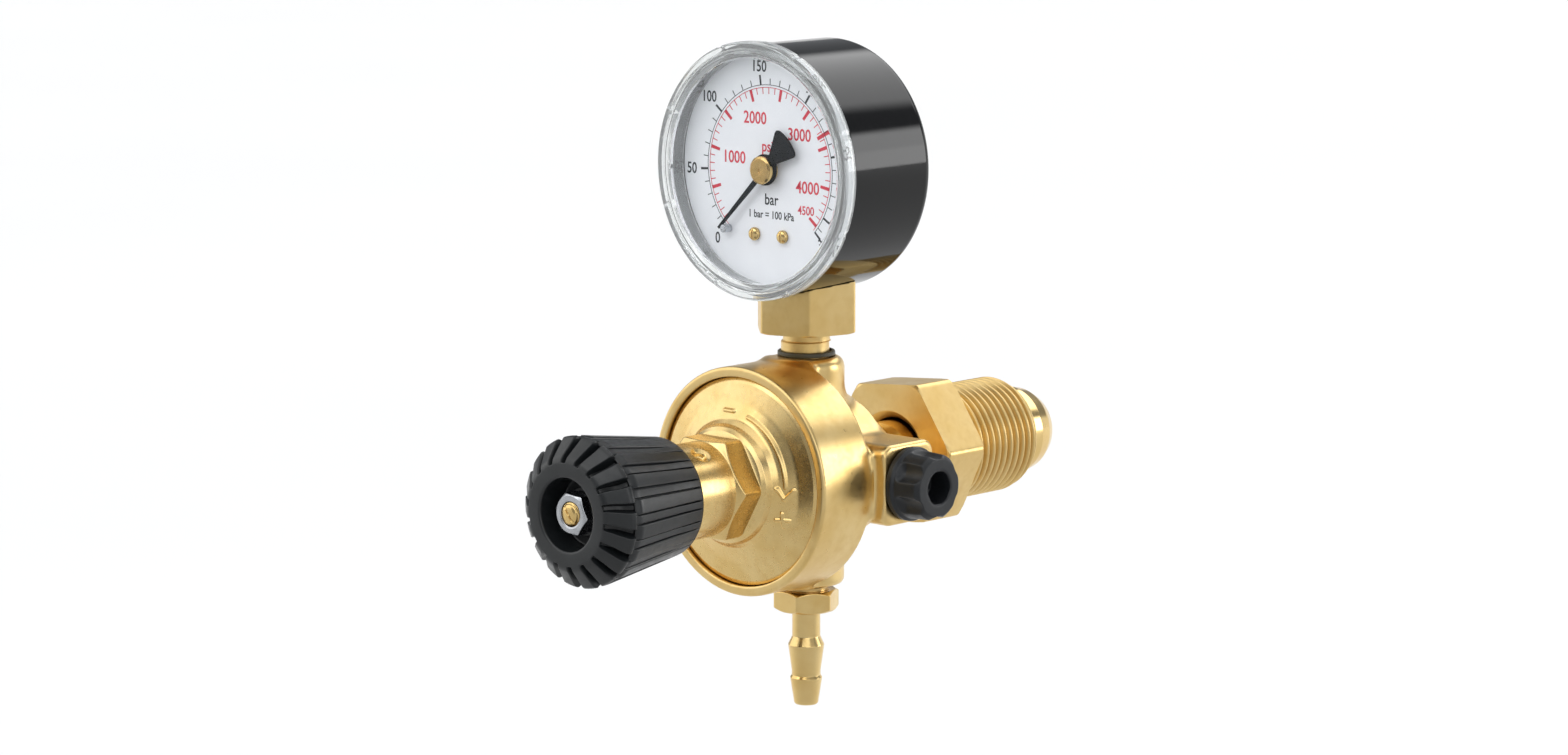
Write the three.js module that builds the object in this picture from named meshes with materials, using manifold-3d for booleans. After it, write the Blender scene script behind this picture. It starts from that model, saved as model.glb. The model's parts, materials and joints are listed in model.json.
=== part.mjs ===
// Gas pressure regulator with one cylinder-pressure gauge.
// Millimetres, +Z up. The main axis runs along Y: adjusting knob at -Y, cylinder inlet at +Y.
// The gauge stands on +Z, the hose barb points to -Z and the relief valve to +X.
// Inside the assembly group y = 0 is the front rim of the body. The group is moved along Y so
// that the part's origin is the tip of the inlet nose, where the cylinder valve's seat is.

import * as THREE from "three";
import { mergeVertices } from "three/addons/utils/BufferGeometryUtils.js";
import Module from "manifold-3d";

const wasm = await Module();
wasm.setup();

// ---------------------------------------------------------------- driving dimensions (mm)

const GAP = 0.3; // assembly gap between pieces that touch on the real object
const PORT_Y = 19.1; // axis of the gauge port and the outlet port
const PORT_THREAD_R = 4.87; // G 1/8 outside radius
const PORT_BORE_R = PORT_THREAD_R + GAP;
const PORT_FACE = 22.2; // height of both port faces above and below the main axis
const BOSS_R = 7.3; // round the ports
const PORT_DEPTH = 14.5; // height of the gauge port's floor
const OUTLET_DEPTH = 13.5;
const GAS_DUCT_R = 1.2;

const RIM_R = 21.9;
const CUP_R = 20;
const DISC_END = 13.6;
const SHOULDER_R = 17.5; // end of the short cone behind the disc
const SHOULDER_Y = 15.2;
const HUB_R = 13.8;
const HUB_START = 20;
const HUB_END = 28.6;
const LEDGE_Y = 7.3; // diaphragm ledge in the cup
const CHAMBER_R = 16.5; // low-pressure chamber
const CHAMBER_END = 10.3;
const NOZZLE_POCKET_R = 5.3;
const NOZZLE_POCKET_END = 15.5;
const HIGH_CHAMBER_R = 4.3;
const NIPPLE_BORE_R = 5.3;
const NIPPLE_BORE_START = 20.7;
const NIPPLE_SPRING_SEAT = 24.5; // step in the nipple that the valve spring rests on
const OUTLET_DUCT_Z = -12;
const RELIEF_DUCT_X = 11.5;

const BLOCK_LOW = 13.8; // side block that carries the relief valve, along Y
const BLOCK_HALF_HEIGHT = 7.7;
const BLOCK_X = 24.4;
const BLOCK_HIGH = 28.2;
const BLOCK_CORNER = 1.6;
const RELIEF_Y = (BLOCK_LOW + BLOCK_HIGH) / 2;
const RELIEF_BORE_R = 4.3;
const RELIEF_SEAT_X = 13;

const BONNET_R = CUP_R - GAP;
const BONNET_BACK = 4.6;
const BONNET_FACE = 0.4;
const HEX_AF = 18.5;
const HEX_BACK = -4.7;
const HEX_FRONT = -10;
const NECK_R = 9.1;
const NECK_END = -27;
const SPRING_CHAMBER_R = 7.4;
const SPRING_CHAMBER_FRONT = -17.5;
const VENT_Y = -15;
const VENT_R = 1.4;
const VENT_ANGLE = 31; // degrees from +Z towards +X

const SCREW_R = 5; // M10 adjusting screw
const SCREW_END_R = 2.2;
const SCREW_SHOULDER = -37.2;
const SCREW_FRONT = -45.1;
const KNOB_BACK = -21;
const KNOB_FRONT = -45.7;
const KNOB_RIBS = 18;
const KNOB_R = 14.1;
const KNOB_BACK_R = 11.3;
const KNOB_RECESS_R = 6.75;
const KNOB_RECESS_FLOOR = -39.5;
const KNOB_PEDESTAL = -41.1; // raised ring in the recess that the nut bears on
const KNOB_WEB = -37.5; // inner face of the knob's front wall
const KNOB_NUT_AF = 7.3;
const KNOB_NUT_FRONT = -44.6;

const NUT_AF = 27;
const NUT_FRONT = 43.4;
const NUT_SHOULDER = 54;
const NUT_END = 75.6;
const INLET_THREAD_R = 11.45; // 5/8 inch BSP outside radius
const NUT_BORE_R = 6.9;
const NUT_VERTEX_ANGLE = 4.7;
const STEM_R = 5.9;
const NOSE_R = 8.9;
const NOSE_TIP = 87.6;

const BARB_AF = 11.3;
const BARB_HEX_TOP = -23.3;
const BARB_HEX_BOTTOM = -27.4;
const BARB_TIP = -46;
const BARB_BORE_R = 1.4;

const GAUGE_Z = 58.6;
const CASE_R = 23.8;
const CASE_WALL = 0.9;
const CASE_FRONT = 6.4;
const CASE_BACK = 28.2;
const WINDOW_R = 24.44;
const WINDOW_FRONT = 3.3;
const DIAL_Y = 9.1;
const DIAL_THICKNESS = 0.6;
const SOCKET_AF = 18;
const SOCKET_HEX_BOTTOM = 27.4;
const SOCKET_VERTEX_ANGLE = 16;
const PAD_HALF_WIDTH = 5.6; // inner end of the gauge socket
const PAD_LOW = -17.6;
const PAD_HIGH = -9.6;
const PAD_FRONT = 10.2;
const PAD_BACK = 24;
const SCREW_SPACING = 3.6; // half the distance between the paired gauge screws
const DIAL_SCREW_Z = -12.5;
const CASE_SCREW_Z = -13.6;
const BLOWOUT_Z = 10;
const BLOWOUT_R = 3.2;

const TOOTH_MODULE = 0.3;
const PINION_TEETH = 10;
const SECTOR_TEETH_FULL = 60; // teeth of the full circle that the sector is part of
const SECTOR_TEETH_CUT = 10;
const PINION_R = (TOOTH_MODULE * PINION_TEETH) / 2;
const SECTOR_R = (TOOTH_MODULE * SECTOR_TEETH_FULL) / 2;
const GEAR_FRONT = 13;
const GEAR_BACK = 13.8;
const MESH_ANGLE = 150; // direction from the sector's pivot to the pinion, degrees
const SECTOR_PIVOT = polar(PINION_R + SECTOR_R, MESH_ANGLE + 180);
const POINTER_ANGLE = 225; // the pointer rests at zero, lower left
const TUBE_R = 14.5; // Bourdon tube, at the middle of its section
const TUBE_TIP_ANGLE = -20;
const TUBE_ROOT_ANGLE = 246;
const TUBE_ROOT_Z = -13.2; // where the tube enters the gauge socket, below the dial centre

// Segments round a full circle, by the size and importance of the surface.
const LARGE = 32;
const MEDIUM = 20;
const SMALL = 12;
const KNOB_CORE_SEGMENTS = 27; // not a multiple of the ribs, so no rib lies along an edge
const HEX_CHAMFER_SEGMENTS = 36;
const HEX_FACE_SHARE = 0.485; // radius where a hexagon's corner chamfer starts, of its width
const HEX_CHAMFER_ANGLE = 30;

// ---------------------------------------------------------------- materials

const finish = (color, roughness, metalness) =>
  new THREE.MeshStandardMaterial({ color, roughness, metalness });
const brass = finish(0xd2a24c, 0.3, 1);
const turnedBrass = finish(0xd9ad5a, 0.22, 1);
const bronze = finish(0xa8733a, 0.7, 0.8);
const zinc = finish(0xc9ced2, 0.3, 1);
const springSteel = finish(0x8f9498, 0.35, 1);
const blackPlastic = finish(0x2b2d2f, 0.5, 0);
const blackPaint = finish(0x0d0e10, 0.12, 0.2);
const blackRubber = finish(0x1c1c1d, 0.8, 0);
const nylon = finish(0xe6e2d6, 0.5, 0);
const dialWhite = finish(0xf2f3f4, 0.5, 0);
const clearPlastic = finish(0xe8eef2, 0.05, 0);
const pointerBlack = finish(0x222527, 0.4, 0);

// ---------------------------------------------------------------- helpers

function radians(degrees) {
  return (degrees * Math.PI) / 180;
}

// A point in the front view, x to the right and z up, at an angle counted from +X.
function polar(radius, degrees) {
  const angle = radians(degrees);
  return [radius * Math.cos(angle), radius * Math.sin(angle)];
}

// A closed geometry as a solid that can be joined and cut.
function solid(geometry) {
  const bare = geometry.index ? geometry.toNonIndexed() : geometry.clone();
  bare.deleteAttribute("normal");
  bare.deleteAttribute("uv");
  const merged = mergeVertices(bare, 1e-4);
  const vertProperties = new Float32Array(merged.attributes.position.array);
  const triVerts = new Uint32Array(merged.index.array);
  return new wasm.Manifold(new wasm.Mesh({ numProp: 3, vertProperties, triVerts }));
}

function mesh(name, made, material) {
  const { vertProperties, triVerts } = made.getMesh();
  const geometry = new THREE.BufferGeometry();
  geometry.setAttribute("position", new THREE.BufferAttribute(vertProperties, 3));
  geometry.setIndex(new THREE.BufferAttribute(triVerts, 1));
  geometry.computeVertexNormals();
  const result = new THREE.Mesh(geometry, material);
  result.name = name;
  return result;
}

function joined(...solids) {
  return solids.reduce((whole, piece) => whole.add(piece));
}

function cut(whole, ...cutters) {
  return cutters.reduce((rest, cutter) => rest.subtract(cutter), whole);
}

// Turns a geometry made along Y so that it runs along another axis, then moves it.
function aim(geometry, axis, [x, y, z]) {
  if (axis === "z") geometry.rotateX(Math.PI / 2);
  if (axis === "x") geometry.rotateZ(-Math.PI / 2);
  return geometry.translate(x, y, z);
}

// A solid of revolution. The profile lists [radius, place along the axis] and is closed here:
// along the axis where it starts and ends on it, or back to its first point where it is a ring.
function turned(profile, segments, axis = "y", at = [0, 0, 0]) {
  const points = profile.map(([radius, along]) => new THREE.Vector2(radius, along));
  if (THREE.ShapeUtils.area(points) < 0) points.reverse();
  const onAxis = points[0].x === 0 && points[points.length - 1].x === 0;
  if (!onAxis) points.push(points[0].clone());
  return solid(aim(new THREE.LatheGeometry(points, segments), axis, at));
}

function rod(radius, low, high, segments, axis = "y", at = [0, 0, 0]) {
  const profile = [[0, low], [radius, low], [radius, high], [0, high]];
  return turned(profile, segments, axis, at);
}

function tube(inner, outer, low, high, segments, axis = "y", at = [0, 0, 0]) {
  const profile = [[inner, low], [outer, low], [outer, high], [inner, high]];
  return turned(profile, segments, axis, at);
}

function box([x0, y0, z0], [x1, y1, z1]) {
  const geometry = new THREE.BoxGeometry(x1 - x0, y1 - y0, z1 - z0);
  return solid(geometry.translate((x0 + x1) / 2, (y0 + y1) / 2, (z0 + z1) / 2));
}

// A hexagon with its corners turned off at both ends. vertexAngle is counted from +X in the
// plane across the axis.
function hexagon(acrossFlats, low, high, vertexAngle, axis = "y", at = [0, 0, 0]) {
  const vertexR = acrossFlats / 2 / Math.cos(Math.PI / 6);
  const faceR = acrossFlats * HEX_FACE_SHARE;
  const chamfer = (vertexR - faceR) * Math.tan(radians(HEX_CHAMFER_ANGLE));
  const turn = axis === "z" ? vertexAngle + 30 : 30 - vertexAngle;
  const prism = new THREE.CylinderGeometry(vertexR, vertexR, high - low, 6);
  prism.rotateY(radians(turn)).translate(0, (low + high) / 2, 0);
  const lens = [
    [0, low], [faceR, low], [vertexR, low + chamfer],
    [vertexR, high - chamfer], [faceR, high], [0, high],
  ];
  return solid(aim(prism, axis, at)).intersect(turned(lens, HEX_CHAMFER_SEGMENTS, axis, at));
}

// An outline drawn in the front view, x to the right and z up, given a thickness along Y.
function plate(outline, low, high, holes = []) {
  const shape = new THREE.Shape(outline.map(([x, z]) => new THREE.Vector2(x, z)));
  holes.forEach(([x, z, radius]) => {
    shape.holes.push(new THREE.Path().absarc(x, z, radius, 0, 2 * Math.PI, true));
  });
  const options = { depth: high - low, bevelEnabled: false, curveSegments: 6 };
  const geometry = new THREE.ExtrudeGeometry(shape, options);
  return solid(geometry.rotateX(Math.PI / 2).translate(0, high, 0));
}

class Helix extends THREE.Curve {
  constructor(radius, low, high, turns) {
    super();
    Object.assign(this, { radius, low, high, turns });
  }

  getPoint(t, target = new THREE.Vector3()) {
    const angle = 2 * Math.PI * this.turns * t;
    const along = this.low + (this.high - this.low) * t;
    return target.set(this.radius * Math.sin(angle), along, this.radius * Math.cos(angle));
  }
}

// A coil spring of round wire between two planes across its axis.
function coil(meanR, wireR, low, high, turns, axis = "y", at = [0, 0, 0]) {
  const section = new THREE.Shape().absarc(0, 0, wireR, 0, 2 * Math.PI);
  const path = new Helix(meanR, low + wireR, high - wireR, turns);
  const options = { steps: turns * 8, curveSegments: 3, bevelEnabled: false, extrudePath: path };
  return solid(aim(new THREE.ExtrudeGeometry(section, options), axis, at));
}

// Points of straight-sided gear teeth round a circle, the first tooth at firstAngle.
function teeth(pitchR, fullCount, cutCount, firstAngle) {
  const addendum = 0.7 * TOOTH_MODULE;
  const dedendum = 1.1 * TOOTH_MODULE;
  const tipHalf = 0.3 * TOOTH_MODULE;
  const rootHalf = 0.95 * TOOTH_MODULE;
  const points = [];
  for (let index = 0; index < cutCount; index += 1) {
    const centre = firstAngle + (360 / fullCount) * index;
    const corner = (radius, half) => {
      const aside = THREE.MathUtils.radToDeg(half / radius);
      points.push(polar(radius, centre + aside));
    };
    corner(pitchR - dedendum, -rootHalf);
    corner(pitchR + addendum, -tipHalf);
    corner(pitchR + addendum, tipHalf);
    corner(pitchR - dedendum, rootHalf);
  }
  return points;
}

// ---------------------------------------------------------------- body and diaphragm

function makeBody() {
  const edge = 0.7;
  const discAndHub = turned([
    [0, 0], [RIM_R - edge, 0], [RIM_R, edge], [RIM_R, DISC_END - 1], [RIM_R - 0.8, DISC_END],
    [SHOULDER_R, SHOULDER_Y], [HUB_R, HUB_START], [HUB_R, HUB_END - 1], [HUB_R - 1, HUB_END],
    [0, HUB_END],
  ], LARGE);
  const portBoss = (low, high) => turned([
    [0, low], [BOSS_R - edge, low], [BOSS_R, low + Math.sign(high - low) * 0.8], [BOSS_R, high],
    [0, high],
  ], MEDIUM, "z", [0, PORT_Y, 0]);
  const corner = BLOCK_CORNER;
  const block = new THREE.Shape();
  const [front, back, half] = [BLOCK_LOW, BLOCK_HIGH, BLOCK_HALF_HEIGHT];
  block.absarc(back - corner, half - corner, corner, 0, Math.PI / 2);
  block.absarc(front + corner, half - corner, corner, Math.PI / 2, Math.PI);
  block.absarc(front + corner, corner - half, corner, Math.PI, 1.5 * Math.PI);
  block.absarc(back - corner, corner - half, corner, 1.5 * Math.PI, 2 * Math.PI);
  const blockOptions = { depth: BLOCK_X, bevelEnabled: false, curveSegments: 4 };
  const blockGeometry = new THREE.ExtrudeGeometry(block, blockOptions);
  const sideBlock = solid(blockGeometry.rotateX(Math.PI / 2).rotateZ(Math.PI / 2));
  const outside = joined(discAndHub, portBoss(PORT_FACE, 0), portBoss(-PORT_FACE, 0), sideBlock);

  const cup = turned([
    [0, -1], [CUP_R, -1], [CUP_R, LEDGE_Y], [CHAMBER_R, LEDGE_Y], [CHAMBER_R, CHAMBER_END],
    [NOZZLE_POCKET_R, CHAMBER_END], [NOZZLE_POCKET_R, NOZZLE_POCKET_END],
    [HIGH_CHAMBER_R, NOZZLE_POCKET_END], [HIGH_CHAMBER_R, NIPPLE_BORE_START],
    [NIPPLE_BORE_R, NIPPLE_BORE_START], [NIPPLE_BORE_R, HUB_END + 1], [0, HUB_END + 1],
  ], LARGE);
  const portAt = [0, PORT_Y, 0];
  const gaugePort = rod(PORT_BORE_R, PORT_DEPTH, PORT_FACE + 1, MEDIUM, "z", portAt);
  const gaugeDuct = rod(GAS_DUCT_R, 2, PORT_DEPTH + 0.5, SMALL, "z", portAt);
  const outletPort = rod(PORT_BORE_R, -PORT_FACE - 1, -OUTLET_DEPTH, MEDIUM, "z", portAt);
  const outletDuct = rod(GAS_DUCT_R, -OUTLET_DEPTH - 0.5, OUTLET_DUCT_Z, SMALL, "z", portAt);
  const drillingAt = [0, 0, OUTLET_DUCT_Z];
  const outletDrilling = rod(GAS_DUCT_R, CHAMBER_END - 1, PORT_Y, SMALL, "y", drillingAt);
  const reliefAt = [0, RELIEF_Y, 0];
  const reliefBore = rod(RELIEF_BORE_R, RELIEF_SEAT_X, BLOCK_X + 1, MEDIUM, "x", reliefAt);
  const ductR = 1;
  const reliefDuct = rod(ductR, RELIEF_DUCT_X, RELIEF_SEAT_X + 1, SMALL, "x", reliefAt);
  const ductAt = [RELIEF_DUCT_X, 0, 0];
  const reliefDrilling = rod(ductR, CHAMBER_END - 1, RELIEF_Y, SMALL, "y", ductAt);
  const made = cut(
    outside, cup, gaugePort, gaugeDuct, outletPort, outletDuct, outletDrilling,
    reliefBore, reliefDuct, reliefDrilling,
  );
  return mesh("body", made, brass);
}

function makeDiaphragmStack() {
  const rimR = BONNET_R - 0.1;
  const [front, back] = [5.8, 7]; // faces of the diaphragm
  const [waveInnerR, waveR, waveOuterR, waveHeight] = [12.2, 14.1, 16, 0.8];
  const boltR = 2;
  const plateR = 11.5;
  const group = new THREE.Group();
  const slipRing = tube(CHAMBER_R, rimR, BONNET_BACK + GAP, LEDGE_Y - 1.8, MEDIUM);
  const diaphragm = turned([
    [boltR + GAP, front], [waveInnerR, front], [waveR, front + waveHeight], [waveOuterR, front],
    [rimR, front], [rimR, back], [waveOuterR, back], [waveR, back + waveHeight],
    [waveInnerR, back], [boltR + GAP, back],
  ], MEDIUM);
  const plateSolid = turned([
    [0, 2.5], [4.3, 2.5], [4.3, 4], [plateR - 0.5, 4], [plateR, 4.4], [plateR, front - GAP],
    [boltR, front - GAP], [boltR, 9], [0, 9],
  ], MEDIUM);
  const clampWasher = tube(boltR + GAP, 5.5, LEDGE_Y, LEDGE_Y + 1.1, MEDIUM);
  group.add(
    mesh("slip_ring", slipRing, zinc),
    mesh("diaphragm", diaphragm, blackRubber),
    mesh("diaphragm_plate", plateSolid, zinc),
    mesh("diaphragm_washer", clampWasher, zinc),
  );
  return group;
}

function makeValve() {
  const group = new THREE.Group();
  const nozzleBoreR = 1.4;
  const nozzleTip = 16.1;
  const nozzleOuterR = NOZZLE_POCKET_R - GAP;
  const nozzleShoulder = NOZZLE_POCKET_END - GAP;
  const seatR = 2.6;
  const nozzle = turned([
    [nozzleBoreR, CHAMBER_END + GAP], [nozzleOuterR, CHAMBER_END + GAP],
    [nozzleOuterR, nozzleShoulder], [seatR, nozzleShoulder], [seatR - 0.5, nozzleTip],
    [nozzleBoreR, nozzleTip],
  ], MEDIUM);
  const pin = rod(0.8, 9.3, nozzleTip - 0.1, SMALL);
  const [poppetR, poppetStemR, poppetBack, poppetEnd] = [3.5, 1.4, 18.9, 21.5];
  const seatFront = nozzleTip + GAP;
  const seatBack = seatFront + 1;
  const poppet = turned([
    [0, seatBack + GAP], [seatR + GAP, seatBack + GAP], [seatR + GAP, nozzleTip + 0.2],
    [poppetR, nozzleTip + 0.2], [poppetR, poppetBack], [poppetStemR, poppetBack],
    [poppetStemR, poppetEnd], [0, poppetEnd],
  ], MEDIUM);
  const seatDisc = rod(seatR, seatFront, seatBack, MEDIUM);
  group.add(
    mesh("seat_nozzle", nozzle, turnedBrass),
    mesh("valve_pin", pin, springSteel),
    mesh("valve_poppet", poppet, turnedBrass),
    mesh("seat_disc", seatDisc, nylon),
    mesh("valve_spring", coil(2.4, 0.3, poppetBack + GAP, NIPPLE_SPRING_SEAT - GAP, 5), springSteel),
  );
  return group;
}

// ---------------------------------------------------------------- bonnet and adjustment

function makeBonnet() {
  const edge = 0.7;
  const screwBoreR = SCREW_R + GAP;
  const collar = [[13.6, 0.2], [12.4, -1.8], [11.4, -2], [10.8, HEX_BACK]];
  const inside = [[SPRING_CHAMBER_R, 0.6], [12.4, 2.4], [16.2, 2.9], [16.2, BONNET_BACK]];
  const shell = turned([
    [BONNET_R, BONNET_BACK], [BONNET_R, BONNET_FACE + edge], [BONNET_R - edge, BONNET_FACE],
    ...collar, [NECK_R, HEX_BACK], [NECK_R, NECK_END + edge], [NECK_R - edge, NECK_END],
    [screwBoreR, NECK_END], [screwBoreR, SPRING_CHAMBER_FRONT],
    [SPRING_CHAMBER_R, SPRING_CHAMBER_FRONT], ...inside,
  ], LARGE);
  const hex = hexagon(HEX_AF, HEX_FRONT, HEX_BACK + 0.5, 0);
  const hexWithBore = cut(hex, rod(SPRING_CHAMBER_R + 0.5, HEX_FRONT - 1, 0, LARGE));
  const ventLength = 6;
  const ventCutter = new THREE.CylinderGeometry(VENT_R, VENT_R, ventLength, SMALL);
  ventCutter.rotateX(Math.PI / 2).translate(0, VENT_Y, NECK_R);
  ventCutter.rotateY(radians(VENT_ANGLE));
  return mesh("bonnet", cut(joined(shell, hexWithBore), solid(ventCutter)), brass);
}

function makeAdjustingGroup() {
  const group = new THREE.Group();
  const tip = SPRING_CHAMBER_FRONT + 0.7;
  const chamfer = 2;
  const screw = turned([
    [0, SCREW_FRONT], [SCREW_END_R - 0.5, SCREW_FRONT], [SCREW_END_R, SCREW_FRONT + 0.4],
    [SCREW_END_R, SCREW_SHOULDER], [SCREW_R, SCREW_SHOULDER], [SCREW_R, tip - chamfer],
    [2.6, tip], [0, tip],
  ], MEDIUM);
  const [buttonFront, buttonShoulder, buttonBack] = [tip + GAP, tip + 2.6, tip + 3.8];
  const [buttonR, spigotR] = [6.6, 4.4];
  const button = turned([
    [0, buttonFront], [buttonR, buttonFront], [buttonR, buttonShoulder],
    [spigotR, buttonShoulder], [spigotR, buttonBack], [0, buttonBack],
  ], MEDIUM);
  const springBack = 3.7; // a little in front of the boss of the diaphragm plate's flange
  const spring = coil(5.7, 1, buttonShoulder + GAP, springBack, 5);
  group.add(
    mesh("adjusting_screw", screw, turnedBrass),
    mesh("spring_button", button, zinc),
    mesh("adjusting_spring", spring, springSteel),
    makeKnob(),
    mesh("knob_nut", makeKnobNut(), zinc),
  );
  return group;
}

function makeKnobNut() {
  const vertexAngle = -7;
  const hex = hexagon(KNOB_NUT_AF, KNOB_NUT_FRONT, KNOB_PEDESTAL - GAP, vertexAngle);
  return cut(hex, rod(SCREW_END_R + GAP, KNOB_NUT_FRONT - 1, KNOB_PEDESTAL + 1, MEDIUM));
}

function makeKnob() {
  const boreR = NECK_R + 0.4;
  const pedestalR = 4.6;
  const core = turned([
    [boreR, KNOB_BACK], [boreR + 1, KNOB_BACK], [KNOB_R - 1.2, -41.5], [9.4, KNOB_FRONT],
    [KNOB_RECESS_R, KNOB_FRONT], [KNOB_RECESS_R, KNOB_RECESS_FLOOR],
    [pedestalR, KNOB_RECESS_FLOOR], [pedestalR, KNOB_PEDESTAL],
    [SCREW_END_R + GAP, KNOB_PEDESTAL], [SCREW_END_R + GAP, KNOB_WEB], [boreR, KNOB_WEB],
  ], KNOB_CORE_SEGMENTS);
  const outline = [
    [8.6, -44], [9.6, KNOB_FRONT], [KNOB_R, -42.4], [KNOB_R, -40.8], [KNOB_BACK_R, KNOB_BACK],
    [10, KNOB_BACK],
  ];
  const shape = new THREE.Shape(outline.map(([radius, along]) => new THREE.Vector2(radius, along)));
  const ribWidth = 2.5;
  const ribs = [];
  for (let index = 0; index < KNOB_RIBS; index += 1) {
    const rib = new THREE.ExtrudeGeometry(shape, { depth: ribWidth, bevelEnabled: false });
    rib.translate(0, 0, -ribWidth / 2).rotateY((2 * Math.PI * index) / KNOB_RIBS);
    ribs.push(solid(rib));
  }
  return mesh("knob", joined(core, ...ribs), blackPlastic);
}

// ---------------------------------------------------------------- inlet

function makeInlet() {
  const group = new THREE.Group();
  const stemStart = HUB_END + GAP;
  const noseShoulder = NUT_END + GAP;
  const boreR = 2.6;
  const orificeR = 1.5;
  const filterEnd = 80;
  const springBoreR = 3.3;
  const spigotR = NIPPLE_BORE_R - GAP;
  const spigotStart = NIPPLE_BORE_START + GAP;
  const bullNose = [[NOSE_R, filterEnd], [8.3, 82.6], [7, 84.8], [5.1, 86.5], [2.8, NOSE_TIP]];
  const nipple = turned([
    [springBoreR, spigotStart], [spigotR, spigotStart], [spigotR, stemStart],
    [STEM_R, stemStart], [STEM_R, noseShoulder], [NOSE_R, noseShoulder], ...bullNose,
    [orificeR, NOSE_TIP], [orificeR, filterEnd], [boreR, filterEnd],
    [boreR, NIPPLE_SPRING_SEAT], [springBoreR, NIPPLE_SPRING_SEAT],
  ], MEDIUM);
  const threadStart = NUT_SHOULDER + 1.6;
  const undercutR = INLET_THREAD_R - 1.1;
  const shellR = 12.6; // inside the hexagon's flats
  const nutShell = turned([
    [NUT_BORE_R + 1, NUT_FRONT], [shellR, NUT_FRONT], [shellR, NUT_SHOULDER],
    [undercutR, NUT_SHOULDER], [undercutR, threadStart],
    [INLET_THREAD_R, threadStart + 0.8], [INLET_THREAD_R, NUT_END - 1.8],
    [INLET_THREAD_R - 0.9, NUT_END], [NUT_BORE_R, NUT_END], [NUT_BORE_R, NUT_FRONT + 1],
  ], LARGE);
  const hex = hexagon(NUT_AF, NUT_FRONT, NUT_SHOULDER, NUT_VERTEX_ANGLE);
  const hexRing = cut(hex, rod(shellR - 1.6, NUT_FRONT - 1, NUT_SHOULDER + 1, LARGE));
  group.add(
    mesh("inlet_nipple", nipple, turnedBrass),
    mesh("inlet_nut", joined(nutShell, hexRing), brass),
    mesh("inlet_filter", rod(boreR - GAP, filterEnd - 18, filterEnd - 2, SMALL), bronze),
  );
  return group;
}

// ---------------------------------------------------------------- outlet and relief valve

function makeHoseBarb() {
  const at = [0, PORT_Y, 0];
  const vertexAngle = -3.5;
  const hex = hexagon(BARB_AF, BARB_HEX_BOTTOM, BARB_HEX_TOP, vertexAngle, "z", at);
  const neckR = 2.72;
  const threadEnd = -OUTLET_DEPTH - GAP;
  const firstBarb = [[2.35, BARB_TIP + 0.3], [3.1, -40.7], [2.8, -40.3]];
  const secondBarb = [[2.8, -39.4], [3.5, -34.2], [neckR, -32.7]];
  const shank = turned([
    [0, BARB_TIP], [2.1, BARB_TIP], ...firstBarb, ...secondBarb, [neckR, BARB_HEX_BOTTOM + 1],
    [PORT_THREAD_R, BARB_HEX_BOTTOM + 1], [PORT_THREAD_R, threadEnd - 0.8],
    [PORT_THREAD_R - 0.8, threadEnd], [0, threadEnd],
  ], MEDIUM, "z", at);
  const bore = rod(BARB_BORE_R, BARB_TIP - 1, threadEnd + 0.8, SMALL, "z", at);
  return mesh("hose_barb", cut(joined(shank, hex), bore), turnedBrass);
}

function makeReliefValve() {
  const group = new THREE.Group();
  group.position.y = RELIEF_Y;
  const seat = RELIEF_SEAT_X;
  const flangeX = BLOCK_X + GAP;
  const headX = 32;
  const lobes = 6;
  const scallops = [];
  for (let index = 0; index < lobes; index += 1) {
    const [y, z] = polar(8.3, (360 / lobes) * (index + 0.5));
    scallops.push(rod(2.9, flangeX + 2.2, headX + 1, SMALL, "x", [0, y, z]));
  }
  const skirt = { outerR: RELIEF_BORE_R - GAP, innerR: 3.3, end: seat + 5.5, floor: 22.9 };
  const flangeR = 7.05;
  const socket = { radius: 3.1, floor: 27.2 };
  const blowHoleR = 1.6;
  const head = turned([
    [skirt.outerR, skirt.end], [skirt.outerR, flangeX], [flangeR, flangeX],
    [flangeR, flangeX + 1.3], [6.5, flangeX + 1.7], [6.3, headX - 0.7], [5.7, headX],
    [socket.radius, headX], [socket.radius, socket.floor], [blowHoleR, socket.floor],
    [blowHoleR, skirt.floor], [skirt.innerR, skirt.floor], [skirt.innerR, skirt.end],
  ], MEDIUM, "x");
  const [poppetR, poppetBack, guideR, guideEnd] = [3.2, seat + 4.2, 1.2, seat + 8];
  const poppet = turned([
    [0, seat + 1.6], [poppetR, seat + 1.6], [poppetR, poppetBack], [guideR, poppetBack],
    [guideR, guideEnd], [0, guideEnd],
  ], MEDIUM, "x");
  group.add(
    mesh("relief_cap", cut(head, ...scallops), blackPlastic),
    mesh("relief_poppet", poppet, turnedBrass),
    mesh("relief_seat_disc", rod(2.6, seat + GAP, seat + 1.3, MEDIUM, "x"), blackRubber),
    mesh("relief_spring", coil(2.5, 0.3, poppetBack + GAP, skirt.floor - GAP, 5, "x"), springSteel),
  );
  return group;
}

// ---------------------------------------------------------------- gauge, about its dial centre

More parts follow.
